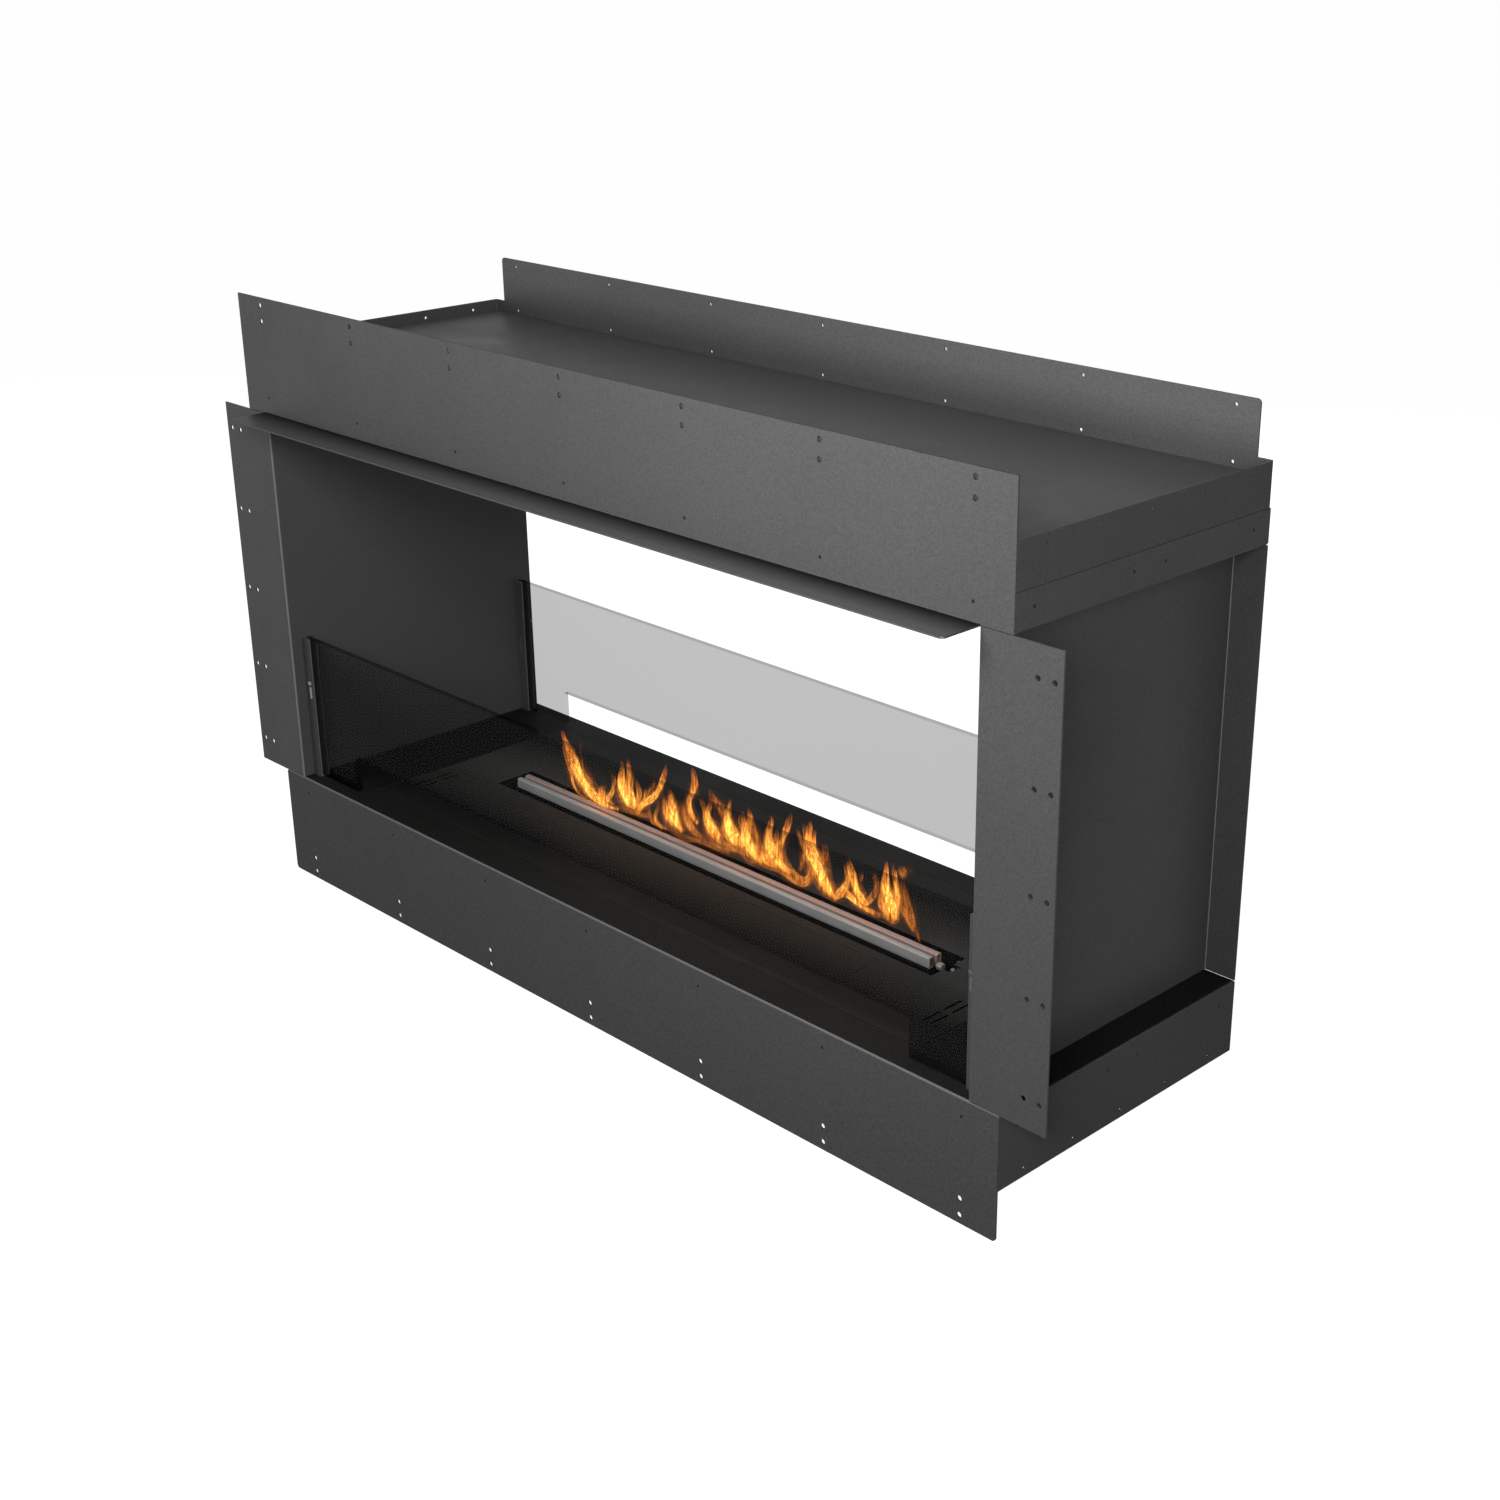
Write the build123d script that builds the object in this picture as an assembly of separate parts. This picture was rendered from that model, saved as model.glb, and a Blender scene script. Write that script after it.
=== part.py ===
from build123d import *
import os

os.makedirs("parts", exist_ok=True)

# A built-in see-through fireplace casing with a ribbon burner. Lengths are in
# millimetres. X runs along the width, Y from the front opening to the rear
# one, Z up. The origin is the middle of the base skirt's underside.

# Casing sheets
body_width = 1300.0
body_depth = 405.0
sheet = 2.0
bend_radius = 1.5
overrun = 5.0
base_height = 90.0
apron_drop = 60.0
window_height = 506.0
ceiling_lip = 40.0
frame_height = 50.0
flange_rise = 60.0
wall_inset = 40.0
side_flange_reach = 60.0
shelf_depth = 53.0
shelf_bend = 0.4
seam_gap = 0.6
ear_gap = 0.8
plate_corner = 5.0
rear_flange_setback = 20.0
top_recess = 15.0
top_lip_gap = 10.0
pan_recess = 15.0
pan_lip_gap = 10.0
insulation_thickness = 30.0
insulation_margin = 12.0

# Hole rows in the casing
hole_sides = 12
rivet_sides = 8
flange_hole_radius = 3.3
small_hole_radius = 2.0
hole_columns = 7
column_margin = 50.0
row_margin = 10.0
row_gap = 20.0
rivet_row = 22.0
side_rows = 5
side_row_margin = 33.0
side_column_margin = 10.0
end_holes = 5
end_hole_margin = 42.5
end_rivet_margin = 28.5
end_rivet_offset = 25.0
rivet_clearance = 0.1
rivet_tail_radius = 2.9
rivet_tail = 1.0

# Glass panes and the channels that they stand in
glass_thickness = 8.0
glass_height = 196.5
glass_inset = 20.0
glass_clearance = 0.3
glass_corner = 1.0
notch_height = 47.0
pane_leg = 96.5
lining = 1.7
channel_sheet = 1.5
channel_bend = 0.5
channel_reach = 16.5
channel_slot_width = 3.0
channel_slot_low = 84.0
channel_slot_high = 115.0
clip_sheet = 1.0
clip_width = 3.5
clip_edge = 2.0
clip_low = 114.0
clip_high = 130.0
clip_pin_radius = 3.0
clip_pin_height = 2.0
clip_pin_level = 136.0

# Burner deck, its vents and its service hatch
deck_end_margin = 153.0
deck_side_margin = 45.0
deck_gap = 0.4
deck_ledge = 5.0
deck_weld_flange = 12.0
ledge_flange = 14.0
slot_end_margin = 97.0
slot_half_width = 29.0
sensor_bay = 12.0
sensor_bay_width = 17.0
vent_length = 28.0
vent_width = 4.0
vent_pitch_x = 11.5
vent_pitch_y = 34.0
vent_end_margin = 27.75
vent_front_margin = 77.0
hatch_end_margin = 165.0
hatch_front_margin = 13.0
hatch_slot_margin = 15.5
hatch_width = 237.0
hatch_gap = 0.5
hatch_lift_gap = 0.3
hatch_ledge = 5.0
hatch_lip = 6.0
hatch_lip_sheet = 1.5
hatch_lip_gap = 1.0

# Burner in its trough
trough_depth = 48.0
trough_flange = 7.0
rail_end_gap = 20.0
rail_width = 8.0
rail_height = 14.0
rail_slot = 5.0
rail_rise = 7.5
rail_sheet = 1.2
rail_bend = 0.6
rail_lip = 2.4
housing_half_width = 12.0
housing_groove = 18.0
tube_clearance = 0.3
tube_wall = 0.8
tube_drop = 11.0
tube_overhang = 4.0
flame_port = 1.6
flame_port_count = 24
plug_radius = 4.5
plug_length = 8.0
plug_chamfer = 1.0
igniter_radius = 3.2
igniter_base_radius = 5.0
igniter_gap = 9.0
igniter_offset = 3.5
sensor_radius = 2.2
sensor_base_radius = 4.0
sensor_offset = 21.5
sensor_setback = 7.0
probe_base_height = 8.0
probe_top_drop = 2.0

# Fuel tank, filler, pump and pipes under the deck
tank_offset = 16.5
tank_share = 0.48
tank_front_margin = 52.5
tank_slot_margin = 21.0
tank_top_gap = 30.0
tank_wall = 1.5
tank_corner = 6.0
filler_inset = 80.0
neck_radius = 17.0
neck_wall = 2.0
neck_height = 10.0
neck_foot_radius = 21.0
neck_foot = 1.5
cap_radius = 21.0
cap_running_gap = 0.1
cap_seat_gap = 0.3
cap_top = 8.0
cap_skirt = 6.0
cap_grips = 10
cap_grip_radius = 2.5
pump_gap = 19.0
pump_rear_margin = 102.5
pump_head_length = 20.0
pump_head_width = 32.0
motor_radius = 14.0
motor_length = 55.0
pipe_radius = 2.0
pipe_bend = 7.0
pipe_hole_radius = 2.6
pipe_column_gap = 10.0

# Control box, its panel and button
control_gap = 10.0
control_length = 175.0
control_top_gap = 18.0
control_corner = 3.0
panel_margin = 8.0
panel_width = 72.0
panel_depth = 50.0
panel_thickness = 5.0
button_inset = 20.0
button_radius = 6.0
button_cap = 3.5
button_travel = 1.5
button_rest_gap = 0.3
button_stem_radius = 3.0
button_stem_length = 4.9
running_gap = 0.1
lamp_pitch = 30.0
lamp_radius = 3.0

# Fan under the right-hand vents
fan_offset = 17.25
fan_size = 60.0
fan_thickness = 15.0
fan_corner = 4.0
fan_bore_radius = 28.0
fan_hub_radius = 11.0
fan_strut = 3.0
fan_strut_count = 3
fan_plate = 2.0
fan_blade_gap = 1.5
fan_blade_sheet = 1.2
fan_blade_chord = 11.0
fan_blade_angle = 35.0
fan_blade_count = 7
fan_seat_gap = 0.3
fan_top_gap = 2.0

# Power inlet in the rear skirt
inlet_end_margin = 90.0
inlet_flange_width = 31.0
inlet_flange_height = 24.0
inlet_flange = 2.0
inlet_body_width = 27.0
inlet_body_height = 19.5
inlet_body_depth = 24.0
inlet_cavity_width = 23.0
inlet_cavity_height = 15.5
inlet_cavity_depth = 16.0
inlet_corner = 3.0
inlet_pin_width = 2.0
inlet_pin_height = 4.0
inlet_pin_length = 13.0
inlet_pin_spread = 7.0
inlet_pin_rise = 2.0

# Places that follow from the sizes above
half_width = body_width / 2
front = -body_depth / 2
rear = body_depth / 2
outer_bend = bend_radius + sheet
ceiling_z = base_height + window_height
seam_z = ceiling_z + ceiling_lip
rim_z = seam_z + frame_height
flange_top = rim_z + flange_rise
wall_face = half_width - wall_inset - sheet
deck_half_x = half_width - deck_end_margin
deck_half_y = rear - deck_side_margin
slot_half_length = deck_half_x - slot_end_margin
rail_half_length = slot_half_length - rail_end_gap
hatch_x = deck_half_x - hatch_end_margin - hatch_width / 2
hatch_front = -deck_half_y + hatch_front_margin
hatch_back = -slot_half_width - hatch_slot_margin
hatch_depth = hatch_back - hatch_front
hatch_y = (hatch_front + hatch_back) / 2
vent_centre_x = deck_half_x - vent_end_margin
vent_centre_y = -deck_half_y + vent_front_margin
deck_under = base_height - sheet
pan_floor = pan_recess + sheet
trough_floor = deck_under - trough_depth + sheet
rail_top = base_height + rail_rise
rail_foot = rail_top - rail_height
tube_z = rail_top - tube_drop
tube_radius = rail_slot / 2 - tube_clearance


def raised(plane, profile, height):
    return extrude(plane * profile, amount=height, dir=plane.z_dir)


def along_x(profile, low, high):
    return raised(Plane.YZ.offset(low), profile, high - low)


def along_y(profile, low, high):
    return raised(Plane.XZ.offset(-high), profile, high - low)


def along_z(profile, low, high):
    return raised(Plane.XY.offset(low), profile, high - low)


def area(u_low, u_high, v_low, v_high):
    shape = Rectangle(u_high - u_low, v_high - v_low)
    return Pos((u_low + u_high) / 2, (v_low + v_high) / 2) * shape


def spots(radius, places, sides):
    # Small repeated holes are drawn with flats, to keep the model light.
    return Sketch() + [Pos(u, v) * RegularPolygon(radius, sides) for u, v in places]


def hole_rows(radius, columns, rows):
    # The corner holes, which locate the fixings, are true circles.
    holes = Sketch()
    for u in columns:
        for v in rows:
            corner = u in (columns[0], columns[-1]) and v in (rows[0], rows[-1])
            holes += Pos(u, v) * (Circle(radius) if corner else RegularPolygon(radius, hole_sides))
    return holes


def folded(points, thickness, inside, side):
    # The points follow the outer face of the bends.
    path = Wire(FilletPolyline(*points, radius=inside + thickness).edges())
    return Face(path.offset_2d(thickness, side=side))


def spread(count, low, high):
    step = (high - low) / (count - 1)
    return [low + step * i for i in range(count)]


def folded_tray(x_half, y_low, y_high, z_low, z_high, closed_top, round_corners):
    outer = along_z(area(-x_half, x_half, y_low, y_high), z_low, z_high)
    inner_area = area(-x_half + sheet, x_half - sheet, y_low + sheet, y_high - sheet)
    if closed_top:
        inner = along_z(inner_area, z_low - overrun, z_high - sheet)
        closed = -1
    else:
        inner = along_z(inner_area, z_low + sheet, z_high + overrun)
        closed = 0
    outer_edges = outer.faces().sort_by(Axis.Z)[closed].edges()
    inner_edges = inner.faces().sort_by(Axis.Z)[closed].edges()
    if round_corners:
        outer_edges = outer_edges + outer.edges().filter_by(Axis.Z)
        inner_edges = inner_edges + inner.edges().filter_by(Axis.Z)
    return fillet(outer_edges, outer_bend) - fillet(inner_edges, bend_radius)


def write(name, shape):
    shape.label = name
    export_step(shape, f"parts/{name}.step")


def write_group(name, shapes):
    write(name, Compound(children=[solid for shape in shapes for solid in shape.solids()]))


# Rows and columns of the casing's holes
columns = spread(hole_columns, -half_width + column_margin, half_width - column_margin)
end_places = spread(end_holes, front + end_hole_margin, rear - end_hole_margin)
end_rivets = [
    front + end_rivet_margin,
    -end_rivet_offset,
    end_rivet_offset,
    rear - end_rivet_margin,
]
ceiling_rivet_z = ceiling_z + rivet_row
base_rivet_z = base_height - rivet_row

# Floor tray: the floor of the fire chamber, folded down on all four sides.
# Its front side is longer and hangs below the base as an apron.
floor_tray = folded_tray(half_width, front, rear, 0, base_height, True, False)
apron = area(-half_width, half_width, -apron_drop, 0)
apron = fillet(apron.vertices().group_by(Axis.Y)[0], plate_corner)
floor_tray += along_y(apron, front, front + sheet)
apron_rows = (-apron_drop + row_margin, -apron_drop + row_margin + row_gap)
apron_holes = hole_rows(flange_hole_radius, columns, apron_rows)
floor_tray -= along_y(apron_holes, front - overrun, front + overrun)
base_rivet_places = [(x, base_rivet_z) for x in columns]
base_rivet_holes = spots(small_hole_radius, base_rivet_places, rivet_sides)
floor_tray -= along_y(base_rivet_holes, front - overrun, rear + overrun)
end_base_holes = spots(small_hole_radius, [(y, row_margin) for y in end_places], hole_sides)
end_base_rivets = spots(small_hole_radius, [(y, base_rivet_z) for y in end_rivets], rivet_sides)
floor_tray -= along_x(end_base_holes, -half_width - overrun, half_width + overrun)
floor_tray -= along_x(end_base_rivets, -half_width - overrun, half_width + overrun)
deck_hole_x = deck_half_x + deck_gap
deck_hole_y = deck_half_y + deck_gap
deck_hole = area(-deck_hole_x, deck_hole_x, -deck_hole_y, deck_hole_y)
floor_tray -= along_z(deck_hole, deck_under - overrun, base_height + overrun)
inlet_x = half_width - inlet_end_margin
inlet_level = base_height / 2
inlet_centre = Pos(inlet_x, inlet_level)
inlet_hole = inlet_centre * Rectangle(inlet_body_width, inlet_body_height)
floor_tray -= along_y(inlet_hole, rear - overrun, rear + overrun)
write("floor_tray", floor_tray)

# Bottom pan: closes the base, with its lips riveted inside the skirt.
pan = folded_tray(
    half_width - sheet,
    front + sheet,
    rear - sheet,
    pan_recess,
    base_height - pan_lip_gap,
    False,
    False,
)
pan -= along_y(base_rivet_holes, front - overrun, rear + overrun)
pan -= along_x(end_base_rivets, -half_width - overrun, half_width + overrun)
pan -= along_y(inlet_hole, rear - sheet - overrun, rear)
write("base_bottom_pan", pan)

# Ceiling tray: the roof of the fire chamber, folded up on all four sides.
ceiling = folded_tray(half_width, front + sheet, rear, ceiling_z, seam_z, False, False)
ceiling_rivet_places = [(x, ceiling_rivet_z) for x in columns]
ceiling_rivet_holes = spots(small_hole_radius, ceiling_rivet_places, rivet_sides)
end_ceiling_places = [(y, ceiling_rivet_z) for y in end_rivets]
end_ceiling_rivets = spots(small_hole_radius, end_ceiling_places, rivet_sides)
ceiling -= along_y(ceiling_rivet_holes, front - overrun, rear + overrun)
ceiling -= along_x(end_ceiling_rivets, -half_width - overrun, half_width + overrun)
write("ceiling_tray", ceiling)

# Upper frame: one strip bent round the ends and the rear. Its rear side
# stands up as a flange with two rows of holes.
frame_path = [
    (-half_width, front + sheet),
    (-half_width, rear),
    (half_width, rear),
    (half_width, front + sheet),
]
frame_strip = folded(frame_path, sheet, bend_radius, Side.RIGHT)
upper_frame = along_z(frame_strip, seam_z + seam_gap, rim_z)
rear_flange_x = half_width - rear_flange_setback
rear_flange = area(-rear_flange_x, rear_flange_x, rim_z, flange_top)
rear_flange = fillet(rear_flange.vertices().group_by(Axis.Y)[-1], plate_corner)
upper_frame += along_y(rear_flange, rear - sheet, rear)
rear_holes = hole_rows(small_hole_radius, columns, (flange_top - row_margin,))
rear_holes += spots(small_hole_radius, [(x, rim_z - row_margin) for x in columns], hole_sides)
upper_frame -= along_y(rear_holes, rear - overrun, rear + overrun)
end_frame_holes = spots(small_hole_radius, [(y, rim_z - row_margin) for y in end_places], hole_sides)
upper_frame -= along_x(end_frame_holes, -half_width - overrun, half_width + overrun)
write("upper_frame", upper_frame)

# Top plate: an inverted tray set down inside the frame and the ceiling tray.
top_plate = folded_tray(
    half_width - sheet,
    front + sheet + sheet,
    rear - sheet,
    ceiling_z + top_lip_gap,
    rim_z - top_recess,
    True,
    True,
)
top_plate -= along_y(ceiling_rivet_holes, front - overrun, rear + overrun)
top_plate -= along_x(end_ceiling_rivets, -half_width - overrun, half_width + overrun)
write("top_plate", top_plate)

# Insulation board that lies on the ceiling tray
board_x = half_width - sheet - insulation_margin
board_y = rear - sheet - insulation_margin
board = along_z(
    area(-board_x, board_x, -board_y, board_y),
    ceiling_z + sheet,
    ceiling_z + sheet + insulation_thickness,
)
write("roof_insulation", board)

# Front top panel: a flange above the window, its lower edge bent forward
# into a narrow shelf between the side flanges.
shelf_half = half_width - wall_inset
shelf_profile = folded(
    [(front - shelf_depth, ceiling_z), (front + sheet, ceiling_z), (front + sheet, flange_top)],
    sheet,
    shelf_bend,
    Side.LEFT,
)
front_panel = along_x(shelf_profile, -shelf_half, shelf_half)
shelf_corners = front_panel.edges().filter_by(Axis.Z).group_by(Axis.Y)[0]
front_panel = fillet(shelf_corners, plate_corner)
for side in (-1, 1):
    x_ends = sorted([side * shelf_half, side * half_width])
    ear = area(x_ends[0], x_ends[1], ceiling_z + ear_gap, flange_top)
    front_panel += along_y(ear, front, front + sheet)
panel_rows = (flange_top - row_margin, flange_top - row_margin - row_gap)
panel_holes = hole_rows(flange_hole_radius, columns, panel_rows)
front_panel -= along_y(panel_holes, front - overrun, front + overrun)
front_panel -= along_y(ceiling_rivet_holes, front - overrun, front + overrun)
write("front_top_panel", front_panel)

# Side walls: each is one sheet, with a wide flange bent outwards at the
# front and a narrow one at the rear.
flange_end = half_width + side_flange_reach
wall_path = [(-flange_end, front), (-wall_face, front), (-wall_face, rear), (-half_width, rear)]
wall_profile = folded(wall_path, sheet, bend_radius, Side.LEFT)
left_wall = along_z(wall_profile, base_height, ceiling_z)
side_levels = spread(side_rows, base_height + side_row_margin, ceiling_z - side_row_margin)
side_columns = (-flange_end + side_column_margin, -flange_end + side_column_margin + row_gap)
side_holes = hole_rows(flange_hole_radius, side_columns, side_levels)
left_wall -= along_y(side_holes, front - overrun, front + overrun)
write("left_side_wall", left_wall)
write("right_side_wall", mirror(left_wall, about=Plane.YZ))

# Rivets that join the trays' lips. Each is flush outside and has a tail inside.


def rivet(grip):
    shank = RegularPolygon(small_hole_radius - rivet_clearance, rivet_sides)
    tail = RegularPolygon(rivet_tail_radius, rivet_sides)
    return along_z(shank, 0, grip) + along_z(tail, grip, grip + rivet_tail)


two_sheets = rivet(sheet + sheet)
three_sheets = rivet(sheet + sheet + sheet)
into_rear = Rot(-90, 0, 0)
into_front = Rot(90, 0, 0)
front_rivets = [Pos(x, front, ceiling_rivet_z) * into_rear * three_sheets for x in columns]
front_rivets += [Pos(x, front, base_rivet_z) * into_rear * two_sheets for x in columns]
write_group("front_rivets", front_rivets)
rear_rivets = [Pos(x, rear, ceiling_rivet_z) * into_front * two_sheets for x in columns]
rear_rivets += [Pos(x, rear, base_rivet_z) * into_front * two_sheets for x in columns]
write_group("rear_rivets", rear_rivets)
left_rivets = []
right_rivets = []
for y in end_rivets:
    for z in (ceiling_rivet_z, base_rivet_z):
        left_rivets.append(Pos(-half_width, y, z) * Rot(0, 90, 0) * two_sheets)
        right_rivets.append(Pos(half_width, y, z) * Rot(0, -90, 0) * two_sheets)
write_group("left_rivets", left_rivets)
write_group("right_rivets", right_rivets)

# Glass channels: a lined U of sheet on the wall at each end of each pane
channel_half = glass_thickness / 2 + glass_clearance + lining + channel_sheet
glass_y = front + glass_inset + glass_thickness / 2
channel_mouth = wall_face - channel_reach
glass_top = base_height + lining + glass_clearance + glass_height
channel_path = [
    (-channel_mouth, glass_y - channel_half),
    (-wall_face, glass_y - channel_half),
    (-wall_face, glass_y + channel_half),
    (-channel_mouth, glass_y + channel_half),
]
channel_profile = folded(channel_path, channel_sheet, channel_bend, Side.RIGHT)
channel = along_z(channel_profile, base_height, glass_top)
slot_low = base_height + channel_slot_low
slot_high = base_height + channel_slot_high
slot_x = -channel_mouth - channel_reach / 2
slot_area = Pos(slot_x, (slot_low + slot_high) / 2) * Rot(0, 0, 90)
slot_area = slot_area * SlotOverall(slot_high - slot_low, channel_slot_width)
slot_y = glass_y + channel_half
channel -= along_y(slot_area, slot_y - channel_sheet - lining / 2, slot_y + overrun)
write("front_left_channel", channel)
write("front_right_channel", mirror(channel, about=Plane.YZ))
write("rear_left_channel", mirror(channel, about=Plane.XZ))
write("rear_right_channel", mirror(mirror(channel, about=Plane.XZ), about=Plane.YZ))


def four_corners(shape):
    rear_copy = mirror(shape, about=Plane.XZ)
    return [
        shape,
        rear_copy,
        mirror(shape, about=Plane.YZ),
        mirror(rear_copy, about=Plane.YZ),
    ]


# Soft linings between the channels and the panes, closed at the foot
lining_half = channel_half - channel_sheet
lining_back = -wall_face + channel_sheet
lining_outer = area(lining_back, -channel_mouth, glass_y - lining_half, glass_y + lining_half)
lining_outer = fillet(lining_outer.vertices().group_by(Axis.X)[0], channel_bend)
groove_half = lining_half - lining
groove = area(
    lining_back + lining,
    -channel_mouth + overrun,
    glass_y - groove_half,
    glass_y + groove_half,
)
lining_solid = along_z(lining_outer, base_height, glass_top)
lining_solid -= along_z(groove, base_height + lining, glass_top + overrun)
write_group("glass_linings", four_corners(lining_solid))

# Clips: a narrow strip on the face of each channel, each below a small screw
clip_x = -channel_mouth - clip_edge - clip_width / 2
clip_area = Pos(clip_x, base_height + (clip_low + clip_high) / 2)
clip_area = clip_area * Rectangle(clip_width, clip_high - clip_low)
clip_seat = glass_y - channel_half
clip = along_y(clip_area, clip_seat - clip_sheet, clip_seat)
pin_area = Pos(clip_x, base_height + clip_pin_level) * RegularPolygon(clip_pin_radius, 6)
clip_pin = along_y(pin_area, clip_seat - clip_pin_height, clip_seat)
write_group("glass_clips", four_corners(clip))
write_group("clip_screws", four_corners(clip_pin))

# Panes: toughened glass with a long notch that leaves an air gap at the foot
pane_half = wall_face - channel_sheet - lining - glass_clearance
pane_foot = glass_top - glass_height
pane = area(-pane_half, pane_half, pane_foot, glass_top)
notch_half = pane_half - pane_leg
notch = area(-notch_half, notch_half, pane_foot - overrun, pane_foot + notch_height)
notch = fillet(notch.vertices().group_by(Axis.Y)[-1], glass_corner)
front_glass = along_y(pane - notch, glass_y - glass_thickness / 2, glass_y + glass_thickness / 2)
write("front_glass", front_glass)
write("rear_glass", mirror(front_glass, about=Plane.XZ))

# Ledge frame under the floor that carries the burner deck
ledge_outer_x = deck_hole_x + deck_weld_flange
ledge_outer_y = deck_hole_y + deck_weld_flange
ledge_inner_x = deck_hole_x - deck_ledge
ledge_inner_y = deck_hole_y - deck_ledge
ledge_area = area(-ledge_outer_x, ledge_outer_x, -ledge_outer_y, ledge_outer_y)
ledge_hole = area(-ledge_inner_x, ledge_inner_x, -ledge_inner_y, ledge_inner_y)
ledge_web = offset(ledge_hole, amount=sheet, kind=Kind.INTERSECTION)
deck_frame = along_z(ledge_area - ledge_hole, deck_under - sheet, deck_under)
deck_frame += along_z(ledge_web - ledge_hole, deck_under - ledge_flange, deck_under)
write("deck_frame", deck_frame)

# Burner deck: the loose middle of the floor, flush with it
slot_rectangle = area(-slot_half_length, slot_half_length, -slot_half_width, slot_half_width)
hatch_hole = Pos(hatch_x, hatch_y) * Rectangle(
    hatch_width + hatch_gap + hatch_gap,
    hatch_depth + hatch_gap + hatch_gap,
)
deck_area = area(-deck_half_x, deck_half_x, -deck_half_y, deck_half_y)
vents = Sketch()
vent_shape = Rot(0, 0, 90) * SlotOverall(vent_length, vent_width)
for side in (-1, 1):
    for column in (-1, 1):
        for row in (-1, 1):
            vent_x = side * vent_centre_x + column * vent_pitch_x / 2
            vent_y = vent_centre_y + row * vent_pitch_y / 2
            vents += Pos(vent_x, vent_y) * vent_shape
sensor_slot = area(0, slot_half_length + sensor_bay, -sensor_bay_width / 2, sensor_bay_width / 2)
deck_area = deck_area - slot_rectangle - sensor_slot - hatch_hole - vents
burner_deck = along_z(deck_area, deck_under, base_height)
write("burner_deck", burner_deck)

# Service hatch: a lift-out lid flush with the deck, located by a short lip
hatch_ledge_hole = Pos(hatch_x, hatch_y) * Rectangle(
    hatch_width - hatch_ledge - hatch_ledge,
    hatch_depth - hatch_ledge - hatch_ledge,
)
hatch_frame_area = offset(hatch_hole, amount=hatch_ledge, kind=Kind.INTERSECTION)
hatch_frame = along_z(hatch_frame_area - hatch_ledge_hole, deck_under - sheet, deck_under)
write("hatch_frame", hatch_frame)
lip_outer = offset(hatch_ledge_hole, amount=-hatch_lip_gap, kind=Kind.INTERSECTION)
lip_inner = offset(lip_outer, amount=-hatch_lip_sheet, kind=Kind.INTERSECTION)
hatch_under = deck_under + hatch_lift_gap
hatch = along_z(Pos(hatch_x, hatch_y) * Rectangle(hatch_width, hatch_depth), hatch_under, base_height)
hatch += along_z(lip_outer - lip_inner, hatch_under - hatch_lip, hatch_under)
write("service_hatch", hatch)

# Burner trough: a deep folded channel that hangs in the deck's slot
trough = Pos(sensor_bay / 2, 0, 0) * folded_tray(
    slot_half_length + sensor_bay / 2 + sheet,
    -slot_half_width - sheet,
    slot_half_width + sheet,
    trough_floor - sheet,
    deck_under,
    False,
    False,
)
trough_right = slot_half_length + sensor_bay
trough_mouth = area(-slot_half_length, trough_right, -slot_half_width, slot_half_width)
trough_rim = offset(trough_mouth, amount=sheet + trough_flange, kind=Kind.INTERSECTION)
trough += along_z(trough_rim - trough_mouth, deck_under - sheet, deck_under)
pipe_column_x = -rail_half_length - tube_overhang - pipe_column_gap
pipe_hole = Pos(pipe_column_x, 0) * Circle(pipe_hole_radius)
trough -= along_z(pipe_hole, trough_floor - overrun, trough_floor + overrun)
write("burner_trough", trough)

# Burner housing: a long body on the trough's floor, grooved along its top
housing_area = area(-housing_half_width, housing_half_width, trough_floor, rail_foot)
groove_area = area(-rail_slot / 2, rail_slot / 2, rail_foot - housing_groove, rail_foot + overrun)
groove_area = fillet(groove_area.vertices().group_by(Axis.Y)[0], rail_slot / 4)
housing = along_x(housing_area - groove_area, -rail_half_length, rail_half_length)
write("burner_housing", housing)

# Burner rails: two bent channels with the flame slot between them
rail_inner = rail_slot / 2
rail_outer = rail_inner + rail_width
rail_path = [
    (-rail_inner - rail_lip, rail_foot),
    (-rail_inner, rail_foot),
    (-rail_inner, rail_top),
    (-rail_outer, rail_top),
    (-rail_outer, rail_foot),
    (-rail_outer + rail_lip, rail_foot),
]
rail_profile = folded(rail_path, rail_sheet, rail_bend, Side.LEFT)
front_rail = along_x(rail_profile, -rail_half_length, rail_half_length)
write("front_burner_rail", front_rail)
write("rear_burner_rail", mirror(front_rail, about=Plane.XZ))

# Vapour tube between the rails, with a row of flame ports along its top
tube_end = rail_half_length + tube_overhang
tube_ring = Pos(0, tube_z) * (Circle(tube_radius) - Circle(tube_radius - tube_wall))
vapour_tube = along_x(tube_ring, -tube_end, tube_end)
port_reach = rail_half_length / flame_port_count
port_columns = spread(flame_port_count, -rail_half_length + port_reach, rail_half_length - port_reach)
ports = Sketch() + [Pos(x, 0) * Rectangle(flame_port, flame_port) for x in port_columns]
vapour_tube -= along_z(ports, tube_z, tube_z + tube_radius + overrun)
write("vapour_tube", vapour_tube)

# Plug that closes the tube's right-hand end
plug = chamfer(Cylinder(plug_radius, plug_length).edges().filter_by(GeomType.CIRCLE), plug_chamfer)
plug = Pos(tube_end + plug_length / 2, 0, tube_z) * Rot(0, 90, 0) * plug
write("end_plug", plug)

# Igniter and flame sensor, standing side by side at the trough's right end
igniter_x = tube_end + plug_length + igniter_gap + igniter_radius


def probe(base_radius, rod_radius, x, y):
    base = Pos(x, y) * RegularPolygon(base_radius, 6)
    rod = Pos(x, y) * Circle(rod_radius)
    foot = along_z(base, trough_floor, trough_floor + probe_base_height)
    stem = along_z(rod, trough_floor, base_height - probe_top_drop)
    stem = chamfer(stem.faces().sort_by(Axis.Z)[-1].edges(), rod_radius / 3)
    return foot + stem


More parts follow.
